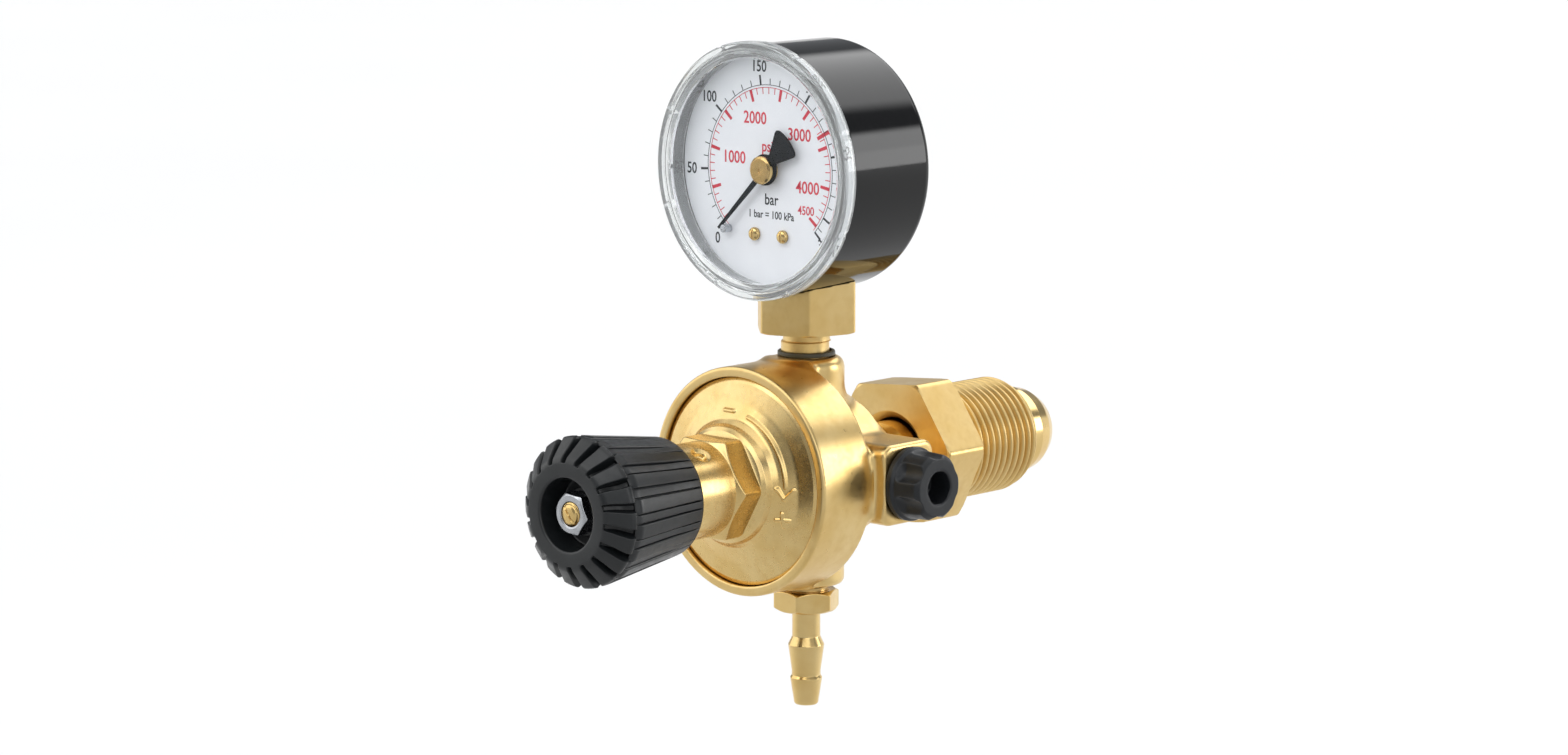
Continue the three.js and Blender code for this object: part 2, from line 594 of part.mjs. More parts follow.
function makeGaugeSocket() {
  const at = [0, PORT_Y, -GAUGE_Z];
  const neckHalf = 3.5;
  const stemEnd = PORT_DEPTH + GAP;
  const undercut = { radius: 4.2, start: 26.2 };
  const stem = turned([
    [0, stemEnd], [PORT_THREAD_R - 0.8, stemEnd], [PORT_THREAD_R, stemEnd + 0.8],
    [PORT_THREAD_R, undercut.start], [undercut.radius, undercut.start + 0.2],
    [undercut.radius, SOCKET_HEX_BOTTOM + 1], [0, SOCKET_HEX_BOTTOM + 1],
  ], MEDIUM, "z", at);
  const hexTop = GAUGE_Z - CASE_R + 3;
  const hex = hexagon(SOCKET_AF, SOCKET_HEX_BOTTOM, hexTop, SOCKET_VERTEX_ANGLE, "z", at);
  const underCase = cut(hex, rod(CASE_R + GAP, 0, 40, LARGE));
  const neck = box(
    [-neckHalf, PORT_Y - neckHalf, -CASE_R - 2.5],
    [neckHalf, PORT_Y + neckHalf, PAD_LOW + 0.2],
  );
  const pad = box([-PAD_HALF_WIDTH, PAD_FRONT, PAD_LOW], [PAD_HALF_WIDTH, PAD_BACK, PAD_HIGH]);
  const bore = rod(GAS_DUCT_R, stemEnd - 1, GAUGE_Z + TUBE_ROOT_Z + 1, SMALL, "z", at);
  const crossDrilling = rod(0.8, -PAD_HALF_WIDTH - 1, 0, SMALL, "x", [0, PORT_Y - 0.2, TUBE_ROOT_Z]);
  const screwHoles = [-SCREW_SPACING, SCREW_SPACING].flatMap((x) => [
    rod(0.9, PAD_FRONT - 1, 14.5, SMALL, "y", [x, 0, DIAL_SCREW_Z]),
    rod(1.5, 20.2, PAD_BACK + 1, SMALL, "y", [x, 0, CASE_SCREW_Z]),
  ]);
  const made = cut(joined(stem, underCase, neck, pad), bore, crossDrilling, ...screwHoles);
  return mesh("gauge_socket", made, brass);
}

function makeGaugeShell() {
  const group = new THREE.Group();
  const innerR = CASE_R - CASE_WALL;
  const shell = turned([
    [CASE_R, CASE_FRONT], [CASE_R, CASE_BACK - 2], [CASE_R - 0.6, CASE_BACK - 0.6],
    [CASE_R - 2, CASE_BACK], [0, CASE_BACK], [0, CASE_BACK - CASE_WALL],
    [innerR - 1.2, CASE_BACK - CASE_WALL], [innerR - 0.3, CASE_BACK - 1.3],
    [innerR, CASE_BACK - 2], [innerR, CASE_FRONT],
  ], LARGE);
  const socketHole = rod(5.3, -CASE_R - 2, -CASE_R + 4, MEDIUM, "z", [0, PORT_Y, 0]);
  const blowoutHole = rod(BLOWOUT_R, CASE_BACK - 2, CASE_BACK + 1, MEDIUM, "y", [0, 0, BLOWOUT_Z]);
  const screwHoles = [-SCREW_SPACING, SCREW_SPACING].map((x) =>
    rod(1.6, CASE_BACK - 2, CASE_BACK + 1, SMALL, "y", [x, 0, CASE_SCREW_Z]));
  const pane = { front: WINDOW_FRONT + 0.7, back: 5.4, radius: 21.3 };
  const skirt = { innerR: 21.6, outerR: innerR - GAP, end: 8.6 };
  const windowSolid = turned([
    [0, pane.front], [pane.radius, pane.front], [21.9, WINDOW_FRONT],
    [WINDOW_R - 0.5, WINDOW_FRONT], [WINDOW_R, WINDOW_FRONT + 0.5],
    [WINDOW_R, CASE_FRONT - GAP], [skirt.outerR, CASE_FRONT - GAP], [skirt.outerR, skirt.end],
    [skirt.innerR, skirt.end], [skirt.innerR, pane.back], [0, pane.back],
  ], LARGE);
  const plugR = BLOWOUT_R - GAP;
  const blowoutPlug = turned([
    [0, CASE_BACK - 1.4], [plugR, CASE_BACK - 1.4], [plugR, CASE_BACK + GAP],
    [plugR + 1, CASE_BACK + GAP], [plugR + 0.7, CASE_BACK + 1], [0, CASE_BACK + 1.1],
  ], MEDIUM, "y", [0, 0, BLOWOUT_Z]);
  group.add(
    mesh("gauge_case", cut(shell, socketHole, blowoutHole, ...screwHoles), blackPaint),
    mesh("gauge_window", windowSolid, clearPlastic),
    mesh("blowout_plug", blowoutPlug, blackRubber),
  );
  [-SCREW_SPACING, SCREW_SPACING].forEach((x, index) => {
    const [shankR, shankEnd, headR] = [1.2, 20.6, 2.4];
    const screw = turned([
      [0, shankEnd], [shankR, shankEnd], [shankR, CASE_BACK + GAP], [headR, CASE_BACK + GAP],
      [headR - 0.2, CASE_BACK + 1.2], [1, CASE_BACK + 1.6], [0, CASE_BACK + 1.6],
    ], SMALL, "y", [x, 0, CASE_SCREW_Z]);
    group.add(mesh(`case_screw_${index + 1}`, screw, zinc));
  });
  return group;
}

function makeDial() {
  const group = new THREE.Group();
  const stopPinAt = [-10.5, 0, -11.8];
  const stopPinR = 0.6;
  const [arborHoleR, discR] = [1.3, 22.3];
  const disc = tube(arborHoleR, discR, DIAL_Y, DIAL_Y + DIAL_THICKNESS, LARGE);
  const holes = [-SCREW_SPACING, SCREW_SPACING].map((x) =>
    rod(0.9, DIAL_Y - 1, DIAL_Y + 2, SMALL, "y", [x, 0, DIAL_SCREW_Z]));
  group.add(mesh("dial", cut(disc, ...holes), dialWhite));
  [-SCREW_SPACING, SCREW_SPACING].forEach((x, index) => {
    const [headFront, headR, shankR, shankEnd] = [8, 1.25, 0.6, 14];
    const screw = turned([
      [0, headFront], [headR - 0.35, headFront], [headR, headFront + 0.3], [headR, DIAL_Y - GAP],
      [shankR, DIAL_Y - GAP], [shankR, shankEnd], [0, shankEnd],
    ], SMALL, "y", [x, 0, DIAL_SCREW_Z]);
    group.add(mesh(`dial_screw_${index + 1}`, screw, turnedBrass));
  });
  const stopPin = rod(stopPinR, 7.2, DIAL_Y - GAP, SMALL, "y", stopPinAt);
  group.add(mesh("stop_pin", stopPin, zinc));
  return group;
}

function makePointer() {
  const group = new THREE.Group();
  const low = 7.5;
  const high = 8;
  const [tipR, tailR, collarR] = [16, 8, 2.6];
  const towards = (radius, angle) => polar(radius, POINTER_ANGLE + angle);
  const outline = [
    towards(tipR, -0.9), towards(tipR, 0.9), towards(collarR, 14), towards(collarR, 90),
    towards(collarR, 155), towards(tailR, 157), towards(tailR, 168), towards(tailR, 180),
    towards(tailR, 192), towards(tailR, 203), towards(collarR, 205), towards(collarR, 270),
    towards(collarR, 346),
  ];
  const [hubFront, hubBack, hubR] = [6.2, 7.2, 2.65];
  const sleeve = { innerR: 0.85, outerR: 1.5, end: 8.7 };
  const hub = turned([
    [0, hubFront], [hubR - 0.45, hubFront], [hubR, hubFront + 0.3], [hubR, hubBack],
    [sleeve.outerR, hubBack], [sleeve.outerR, sleeve.end], [sleeve.innerR, sleeve.end],
    [sleeve.innerR, hubBack], [0, hubBack],
  ], MEDIUM);
  const [arborFront, arborBack] = [7.5, 17];
  const arbor = rod(0.55, arborFront, arborBack, SMALL);
  const firstTooth = MESH_ANGLE + 180 + 180 / PINION_TEETH;
  const pinionTeeth = teeth(PINION_R, PINION_TEETH, PINION_TEETH, firstTooth);
  const gear = plate(pinionTeeth, GEAR_FRONT - 0.1, GEAR_BACK + 0.1);
  group.add(
    mesh("pointer", plate(outline, low, high, [[0, 0, sleeve.outerR + GAP]]), pointerBlack),
    mesh("pointer_hub", hub, turnedBrass),
    mesh("pinion", joined(arbor, gear), turnedBrass),
  );
  return group;
}

// The sector gear, in its own frame about the pivot.
function makeSector() {
  const group = new THREE.Group();
  group.position.set(SECTOR_PIVOT[0], 0, SECTOR_PIVOT[1]);
  const pitch = 360 / SECTOR_TEETH_FULL;
  const firstTooth = MESH_ANGLE - 8 * pitch;
  const tailAngle = MESH_ANGLE - 22.5 + 180;
  const tailR = 4.6;
  const outline = [
    ...teeth(SECTOR_R, SECTOR_TEETH_FULL, SECTOR_TEETH_CUT, firstTooth),
    polar(1.8, 200), polar(1.8, 250), polar(tailR, tailAngle - 10), polar(tailR, tailAngle + 10),
    polar(1.8, 0), polar(1.8, 45),
  ];
  const [tailX, tailZ] = polar(tailR - 0.9, tailAngle);
  const tipFromPivot = [
    TUBE_R * Math.cos(radians(TUBE_TIP_ANGLE)) - SECTOR_PIVOT[0],
    TUBE_R * Math.sin(radians(TUBE_TIP_ANGLE)) - SECTOR_PIVOT[1],
  ];
  const span = new THREE.Vector2(tipFromPivot[0] - tailX, tipFromPivot[1] - tailZ);
  const side = new THREE.Vector2(-span.y, span.x).setLength(0.7);
  const linkOutline = [
    [tailX + side.x, tailZ + side.y], [tailX - side.x, tailZ - side.y],
    [tipFromPivot[0] - side.x, tipFromPivot[1] - side.y],
    [tipFromPivot[0] + side.x, tipFromPivot[1] + side.y],
  ];
  group.add(
    mesh("sector_gear", plate(outline, GEAR_FRONT, GEAR_BACK, [[0, 0, 0.85]]), turnedBrass),
    mesh("sector_arbor", rod(0.55, 11.9, 16.1, SMALL), springSteel),
    mesh("tip_link", plate(linkOutline, 14.1, 14.7), turnedBrass),
  );
  return group;
}

function makeBourdonTube() {
  const group = new THREE.Group();
  const arc = new THREE.Shape();
  const halfWall = 0.65;
  const from = radians(TUBE_TIP_ANGLE);
  const to = radians(TUBE_ROOT_ANGLE);
  arc.absarc(0, 0, TUBE_R + halfWall, from, to, false);
  arc.absarc(0, 0, TUBE_R - halfWall, to, from, true);
  const [low, high] = [17.4, 20.4];
  const options = { depth: high - low, bevelEnabled: false, curveSegments: 16 };
  const geometry = new THREE.ExtrudeGeometry(arc, options);
  geometry.rotateX(Math.PI / 2).translate(0, high, 0);
  const tip = new THREE.BoxGeometry(2.6, 4.2, 2.4);
  tip.translate(TUBE_R, (low + high) / 2, -1.6).rotateY(-from);
  group.add(
    mesh("bourdon_tube", solid(geometry), bronze),
    mesh("tube_tip", solid(tip), turnedBrass),
  );
  return group;
}

function makeMovementFrame() {
  const group = new THREE.Group();
  const outline = [[-3.4, -8.8], [11.8, -8.8], [11.8, -2.2], [3, 3.3], [-3.4, 3.3]];
  const pivotHoles = [[0, 0, 0.75], [...SECTOR_PIVOT, 0.75]];
  const [frontLow, frontHigh, backLow, backHigh] = [11.6, 12.4, 15.6, 16.4];
  group.add(
    mesh("movement_front_plate", plate(outline, frontLow, frontHigh, pivotHoles), turnedBrass),
    mesh("movement_back_plate", plate(outline, backLow, backHigh, pivotHoles), turnedBrass),
  );
  [[-2.4, -7.6], [10.9, -3.1], [-2.5, 2.4]].forEach(([x, z], index) => {
    const pillar = rod(0.6, frontHigh + GAP, backLow - GAP, SMALL, "y", [x, 0, z]);
    group.add(mesh(`movement_pillar_${index + 1}`, pillar, turnedBrass));
  });
  const spiral = (offset) => {
    const points = [];
    const turns = 3;
    const stepsPerTurn = 12;
    for (let step = 0; step <= turns * stepsPerTurn; step += 1) {
      const radius = 0.95 + (0.5 * step) / stepsPerTurn + offset;
      points.push(polar(radius, (360 * step) / stepsPerTurn));
    }
    return points;
  };
  const strip = [...spiral(0.14), ...spiral(0).reverse()];
  group.add(mesh("hairspring", plate(strip, 14.3, 15), bronze));
  return group;
}

function makeGauge() {
  const group = new THREE.Group();
  group.position.z = GAUGE_Z;
  group.add(
    makeGaugeSocket(), makeGaugeShell(), makeDial(), makePointer(), makeSector(),
    makeBourdonTube(), makeMovementFrame(),
  );
  return group;
}

function makeGaugeGasket() {
  const ring = tube(PORT_BORE_R, 6.3, PORT_FACE + GAP, PORT_FACE + 1.5, MEDIUM, "z", [0, PORT_Y, 0]);
  return mesh("gauge_gasket", ring, blackRubber);
}

// ---------------------------------------------------------------- assembly

const regulator = new THREE.Group();
regulator.position.y = -NOSE_TIP;
regulator.add(
  makeBody(),
  makeDiaphragmStack(),
  makeValve(),
  makeBonnet(),
  makeAdjustingGroup(),
  makeInlet(),
  makeHoseBarb(),
  makeReliefValve(),
  makeGaugeGasket(),
  makeGauge(),
);

export default regulator;
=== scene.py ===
"""Looks of the brass gas regulator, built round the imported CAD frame.

Lengths in the shape code are millimetres. The main axis is Y, and y = 0 is the front rim of the
body, as in the part's source: `RIM_Y` moves a shape from there into the row frame.
"""
import json
import math

import bpy
import numpy as np
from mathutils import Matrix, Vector


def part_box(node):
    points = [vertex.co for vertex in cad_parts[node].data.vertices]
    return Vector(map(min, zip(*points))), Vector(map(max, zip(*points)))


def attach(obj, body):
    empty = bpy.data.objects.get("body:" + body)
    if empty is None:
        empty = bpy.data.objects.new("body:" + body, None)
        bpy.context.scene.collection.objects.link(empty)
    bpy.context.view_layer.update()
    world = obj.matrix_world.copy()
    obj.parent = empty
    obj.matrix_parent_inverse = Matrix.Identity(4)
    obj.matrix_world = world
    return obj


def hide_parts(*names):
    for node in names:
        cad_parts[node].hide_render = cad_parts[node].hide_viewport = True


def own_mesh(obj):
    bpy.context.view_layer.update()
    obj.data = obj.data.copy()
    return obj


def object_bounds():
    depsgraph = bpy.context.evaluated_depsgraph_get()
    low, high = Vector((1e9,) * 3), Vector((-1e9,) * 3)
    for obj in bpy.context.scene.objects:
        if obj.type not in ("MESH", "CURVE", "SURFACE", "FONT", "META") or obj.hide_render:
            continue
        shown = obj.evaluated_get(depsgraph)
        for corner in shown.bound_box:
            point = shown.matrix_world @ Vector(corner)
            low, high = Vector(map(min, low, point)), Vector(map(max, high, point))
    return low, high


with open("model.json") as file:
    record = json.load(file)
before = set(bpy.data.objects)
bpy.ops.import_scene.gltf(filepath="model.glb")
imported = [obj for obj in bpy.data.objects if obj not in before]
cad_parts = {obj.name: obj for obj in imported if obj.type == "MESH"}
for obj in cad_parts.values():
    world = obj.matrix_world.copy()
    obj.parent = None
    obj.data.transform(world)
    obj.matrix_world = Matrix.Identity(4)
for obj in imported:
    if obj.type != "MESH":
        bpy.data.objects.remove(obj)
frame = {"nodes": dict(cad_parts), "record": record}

cad_low, cad_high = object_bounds()

# ---- places, from the frame

MM = 0.001
TAU = 2 * math.pi
RIM_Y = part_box("body")[0].y / MM


def node_centre(node):
    """Centre of a CAD node in millimetres, counted from the body's front rim."""
    low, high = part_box(node)
    centre = (low + high) / 2 / MM
    return centre.x, centre.y - RIM_Y, centre.z


PORT_Y = round(node_centre("hose_barb")[1], 2)
RELIEF_Y = round(node_centre("relief_cap")[1], 2)
GAUGE_Z = round(node_centre("gauge_window")[2], 2)
NOSE_TIP = -RIM_Y
BODY_OF = {
    node: body for body, nodes in frame["record"]["behaviour"]["bodies"].items() for node in nodes
}
SLOT_OF = {part["node"]: part["material_slot"] for part in frame["record"]["subparts"]}

# ---- driving dimensions (mm)

DISC_R = 21.9
DISC_END = 13.6
CUP_R = 20
HUB_R = 13.8
HUB_END = 28.6
BOSS_R = 7.3
PORT_FACE = 22.2
BLOCK_LOW, BLOCK_HIGH = 13.8, 28.2
BLOCK_X = 24.4
BLOCK_HALF_HEIGHT = 7.7
BLOCK_CORNER = 2.6

BONNET_R = 19.86
BONNET_NECK_R = 9.1
BONNET_HEX = 18.5
VENT_Y, VENT_ANGLE = -15, 59
SIGN_R, SIGN_HEIGHT = 13.5, 0.45
KNOB_R = 14.1
KNOB_BACK, KNOB_SHOULDER, KNOB_FRONT = -21, -42.2, -45.7
KNOB_LUGS = 18
KNOB_NUT_HEX = 7.3

NUT_HEX = 27
NUT_FRONT, NUT_SHOULDER, NUT_END = 43.4, 54, 75.6
INLET_THREAD_R = 11.45
INLET_PITCH = 25.4 / 14
PORT_THREAD_R = 4.87
PORT_PITCH = 25.4 / 28
BARB_HEX = 11.3
SOCKET_HEX = 18

CASE_R = 23.8
CASE_FRONT, CASE_BACK = 6.4, 28.2
DIAL_Y = 9.1
POINTER_ANGLE = 225
SCALE_SWEEP, SCALE_ROLL = 270, 1.5
FULL_SCALE_BAR, RED_LINE_BAR = 315, 231
PSI_PER_BAR = 14.5038
SCREW_X = 3.6
DIAL_SCREW_Z, CASE_SCREW_Z, PLUG_Z = GAUGE_Z - 12.5, GAUGE_Z - 13.6, GAUGE_Z + 10
SHARP_ANGLE = 50
FLATNESS = 60

# ---- mesh helpers


def in_frame(points):
    """Millimetres from the body's rim, as metres in the row frame."""
    return (np.asarray(points, float).reshape(-1, 3) + (0, RIM_Y, 0)) * MM


def new_object(name, points, faces):
    mesh = bpy.data.meshes.new(name)
    mesh.from_pydata(in_frame(points).tolist(), [], [tuple(f) for f in faces])
    mesh.shade_smooth()
    made = bpy.data.objects.new(name, mesh)
    bpy.context.scene.collection.objects.link(made)
    return made


def finished(made, node, material, weighted=True):
    """Gives a new piece its material, and puts it in the place of a CAD node."""
    made.data.materials.clear()
    made.data.materials.append(material)
    if weighted:
        modifier = made.modifiers.new("flat_faces_shade_flat", "WEIGHTED_NORMAL")
        modifier.weight = FLATNESS
        modifier.keep_sharp = True
    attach(made, BODY_OF[node])
    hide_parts(node)


def soften(points, radius=0.2, arc=4):
    """A profile with its corners rounded. A point is (radius, along) or (radius, along, its own
    corner radius). A profile that starts off the axis is a closed ring."""
    closed = points[0][0] > 0
    count = len(points)
    result = []
    for index, point in enumerate(points):
        here = np.array(point[:2], float)
        corner = point[2] if len(point) > 2 else radius
        if corner == 0 or (not closed and index in (0, count - 1)):
            result.append(here)
            continue
        before = np.array(points[index - 1][:2], float) - here
        after = np.array(points[(index + 1) % count][:2], float) - here
        length_before, length_after = np.hypot(*before), np.hypot(*after)
        cosine = np.clip(before @ after / (length_before * length_after), -1, 1)
        half = math.acos(cosine) / 2
        if half > 1.5:
            result.append(here)
            continue
        trim = min(corner / math.tan(half), 0.45 * length_before, 0.45 * length_after)
        start = here + before / length_before * trim
        end = here + after / length_after * trim
        for step in np.linspace(0, 1, arc + 1):
            result.append((1 - step) ** 2 * start + 2 * step * (1 - step) * here + step**2 * end)
    return np.array(result)


def fine(profile, step, where):
    """A profile with extra points, no further apart than step. where(radius, along) says which
    stretches need them."""
    profile = np.asarray(profile, float)
    closed = profile[0][0] > 0
    ends = np.roll(profile, -1, axis=0) if closed else profile[1:]
    result = []
    for start, end in zip(profile, ends):
        result.append(start)
        length = np.hypot(*(end - start)) if where(*(start + end) / 2) else 0
        parts = max(1, math.ceil(length / step))
        result += [start + (end - start) * k / parts for k in range(1, parts)]
    if not closed:
        result.append(profile[-1])
    return np.array(result)


def turned(name, profile, segments, axis="y", at=(0, 0, 0), shape=None):
    """A piece turned round an axis. shape(radius, along, angle) may move the surface, for flats,
    ribs, threads and marks. The angle is counted from +X (from +Y round the X axis)."""
    profile = np.asarray(profile, float)
    rows = len(profile)
    angle = np.broadcast_to(TAU * np.arange(segments) / segments, (rows, segments))
    radius = np.repeat(profile[:, :1], segments, axis=1)
    along = np.repeat(profile[:, 1:], segments, axis=1)
    if shape:
        radius, along = shape(radius, along, angle)
    across, up = radius * np.cos(angle), radius * np.sin(angle)
    order = {"y": (across, along, up), "z": (across, up, along), "x": (along, across, up)}[axis]
    points = np.stack(order, axis=-1).reshape(-1, 3) + at

    index = np.arange(rows * segments).reshape(rows, segments)
    on_axis = [profile[0][0] == 0, profile[-1][0] == 0]
    if on_axis[0]:
        index[0] = index[0, 0]
    if on_axis[1]:
        index[-1] = index[-1, 0]
    faces = []
    last = rows if not any(on_axis) else rows - 1
    for row in range(last):
        low, high = index[row], index[(row + 1) % rows]
        next_low, next_high = np.roll(low, -1), np.roll(high, -1)
        if low[0] == low[1]:
            faces += np.stack([low, next_high, high], axis=-1).tolist()
        elif high[0] == high[1]:
            faces += np.stack([low, next_low, high], axis=-1).tolist()
        else:
            faces += np.stack([low, next_low, next_high, high], axis=-1).tolist()
    return new_object(name, *outward(points, faces))


def outward(points, faces):
    """Drops unused points and turns the faces to point out of the closed surface."""
    used = sorted({i for face in faces for i in face})
    renumber = {old: new for new, old in enumerate(used)}
    faces = [tuple(renumber[i] for i in face) for face in faces]
    points = points[used]
    first = np.array([face[:3] for face in faces])
    second = np.array([(face[0], face[2], face[-1]) for face in faces])
    centre = points.mean(axis=0)

    def volume(corners):
        a, b, c = (points[corners[:, k]] - centre for k in range(3))
        return np.einsum("ij,ij->i", a, np.cross(b, c)).sum()

    if volume(first) + volume(second) < 0:
        faces = [face[::-1] for face in faces]
    return points, faces


def cut(made, *cutters):
    """Cuts the cutters out of a piece and removes them."""
    for cutter in cutters:
        modifier = made.modifiers.new("cut", "BOOLEAN")
        modifier.operation = "DIFFERENCE"
        modifier.solver = "EXACT"
        modifier.object = cutter
    depsgraph = bpy.context.evaluated_depsgraph_get()
    mesh = bpy.data.meshes.new_from_object(made.evaluated_get(depsgraph))
    mesh.set_sharp_from_angle(angle=math.radians(SHARP_ANGLE))
    made.modifiers.clear()
    old, made.data = made.data, mesh
    mesh.name = old.name
    bpy.data.meshes.remove(old)
    for cutter in cutters:
        bpy.data.meshes.remove(cutter.data)
    return made


def lathed(node, suffix, points, segments, material, axis="y", at=(0, 0, 0), shape=None,
           finer=(), corner=0.2, arc=4):
    """A turned piece in the place of a CAD node. finer lists the steps and stretches that need
    extra points."""
    profile = soften(points, corner, arc)
    for step, where in finer:
        profile = fine(profile, step, where)
    made = turned(f"{node}_{suffix}", profile, segments, axis, at, shape)
    finished(made, node, material)


def soft_min(a, b, blend):
    """The lower of two, with a soft step from one to the other."""
    share = np.clip(0.5 + 0.5 * (b - a) / blend, 0, 1)
    return b * (1 - share) + a * share - blend * share * (1 - share)


def soft_max(a, b, blend):
    return -soft_min(-a, -b, blend)


def smooth(value, low, high):
    share = np.clip((value - low) / (high - low), 0, 1)
    return share * share * (3 - 2 * share)


def hex_radius(angle, across_flats, vertex_angle, blend=0.4):
    """Radius of a hexagon with softened corners."""
    half = across_flats / 2
    from_flat = np.mod(angle - math.radians(vertex_angle), math.pi / 3) - math.pi / 6
    neighbour = half / np.cos(np.abs(from_flat) - math.pi / 3)
    return soft_min(half / np.cos(from_flat), neighbour, blend)


def thread_depth(angle, along, pitch):
    """Share of the full thread depth, 0 on a crest and 1 in a root, on a right-hand thread."""
    phase = np.mod(along / pitch + angle / TAU, 1)
    flank = np.abs(phase - 0.5) * 2
    return 1 - smooth(flank, 0.08, 0.92)


# ---- implicit surfaces


def gradient(field, points, step=0.02):
    result = np.empty_like(points)
    for axis in range(3):
        offset = np.zeros(3)
        offset[axis] = step
        high, low = points + offset, points - offset
        result[:, axis] = (field(*high.T) - field(*low.T)) / (2 * step)
    return result


def surface_net(field, low, high, cell):
    """Points and quads of the surface where field is zero. Field is negative inside."""
    axes = [np.arange(a, b + cell, cell) for a, b in zip(low, high)]
    grid = np.meshgrid(*axes, indexing="ij")
    inside = field(*grid) < 0
    corners = [inside[i : i - 1 or None, j : j - 1 or None, k : k - 1 or None]
               for i in (0, 1) for j in (0, 1) for k in (0, 1)]
    count = np.sum(corners, axis=0, dtype=np.int8)
    active = (count > 0) & (count < 8)
    number = np.full(active.shape, -1, np.int64)
    number[active] = np.arange(active.sum())
    cells = np.argwhere(active)
    points = np.array(low, float) + (cells + 0.5) * cell

    faces = []
    for axis in range(3):
        one, two = [a for a in range(3) if a != axis]
        before = [slice(1, -1)] * 3
        before[axis] = slice(0, -1)
        after = list(before)
        after[axis] = slice(1, None)
        start, end = inside[tuple(before)], inside[tuple(after)]
        for leaving in (True, False):
            crossing = (start & ~end) if leaving else (~start & end)
            at = np.argwhere(crossing)
            at[:, one] += 1
            at[:, two] += 1
            around = []
            for step_one, step_two in ((1, 1), (0, 1), (0, 0), (1, 0)):
                place = at.copy()
                place[:, one] -= step_one
                place[:, two] -= step_two
                around.append(number[tuple(place.T)])
            quads = np.stack(around, axis=-1)
            if leaving == (axis == 1):
                quads = quads[:, ::-1]
            faces.append(quads)
    faces = np.concatenate(faces)

    for _ in range(6):
        slope = gradient(field, points)
        size = np.maximum((slope**2).sum(axis=1), 0.05)
        move = slope * (field(*points.T) / size)[:, None]
        points = points - np.clip(move, -cell / 2, cell / 2)
    return points, faces


# ---- materials


class Nodes:
    """Short calls that add nodes to a tree."""

    def __init__(self, tree):
        self.tree = tree

    def node(self, kind, *values, **settings):
        """A new node. The values go to its first inputs, in order, and None leaves one as it is."""
        made = self.tree.nodes.new(kind)
        for key, value in settings.items():
            setattr(made, key, value)
        for socket, value in zip(made.inputs, values):
            if value is not None:
                self.feed(socket, value)
        return made

    def feed(self, socket, value):
        if isinstance(value, bpy.types.NodeSocket):
            self.tree.links.new(value, socket)
        else:
            socket.default_value = value

    def math(self, operation, *values):
        return self.node("ShaderNodeMath", *values, operation=operation).outputs[0]

    def spread(self, value, low, high, to_low, to_high, kind="LINEAR"):
        numbers = (value, low, high, to_low, to_high)
        return self.node("ShaderNodeMapRange", *numbers, interpolation_type=kind).outputs[0]

    def blend(self, share, first, second, kind="MIX"):
        made = self.node("ShaderNodeMix", share, data_type="RGBA", blend_type=kind)
        for socket, value in ((made.inputs[6], first), (made.inputs[7], second)):
            self.feed(socket, value if isinstance(value, bpy.types.NodeSocket) else (*value, 1))
        return made.outputs[2]


class Shader(Nodes):
    """A Principled material that is built node by node."""

    def __init__(self, name, colour, roughness, metallic=0.0):
        self.material = bpy.data.materials.new(name)
        self.material.use_nodes = True
        super().__init__(self.material.node_tree)
        self.surface = self.tree.nodes["Principled BSDF"]
        self.colour, self.roughness = colour, roughness
        self.surface.inputs["Metallic"].default_value = metallic
        self.coordinates = self.node("ShaderNodeTexCoord").outputs["Object"]

    def noise(self, size, detail=3.0, vector=None, dimensions="3D"):
        """A noise whose features measure about size millimetres."""
        values = (vector or self.coordinates, None, 1 / (size * MM), detail)
        made = self.node("ShaderNodeTexNoise", *values, noise_dimensions=dimensions)
        return made.outputs["Fac"]

    def lathe_vector(self, axis, at):
        """Radius from the axis and place along it, as a vector: noise on it makes tool marks."""
        parts = self.node("ShaderNodeSeparateXYZ", self.coordinates)
        centre = in_frame([at])[0]
        across = [i for i in range(3) if i != "xyz".index(axis)]
        offsets = [self.math("SUBTRACT", parts.outputs[i], float(centre[i])) for i in across]
        squares = [self.math("POWER", offset, 2.0) for offset in offsets]
        radius = self.math("SQRT", self.math("ADD", *squares))
        along = parts.outputs["xyz".index(axis)]
        return self.node("ShaderNodeCombineXYZ", radius, along).outputs[0]

    def crevice(self, distance):
        """1 in a corner or a hole, 0 in the open."""
        made = self.node("ShaderNodeAmbientOcclusion", None, distance * MM, samples=12)
        return self.math("SUBTRACT", 1.0, made.outputs["AO"])

    def bump(self, height, depth, strength=1.0):
        made = self.node("ShaderNodeBump")
        made.inputs["Strength"].default_value = strength
        made.inputs["Distance"].default_value = depth * MM
        self.feed(made.inputs["Height"], height)
        before = self.surface.inputs["Normal"].links
        if before:
            self.feed(made.inputs["Normal"], before[0].from_socket)
        self.feed(self.surface.inputs["Normal"], made.outputs[0])

    def done(self):
        colour = self.colour
        if not isinstance(colour, bpy.types.NodeSocket):
            colour = (*colour, 1)
        self.feed(self.surface.inputs["Base Color"], colour)
        self.feed(self.surface.inputs["Roughness"], self.roughness)
        return self.material


BRASS = (0.76, 0.525, 0.195)
BRASS_LIGHT = (0.84, 0.63, 0.29)
BRASS_DEEP = (0.64, 0.405, 0.135)
BRASS_PAINTED_SHADE = (0.34, 0.19, 0.06)


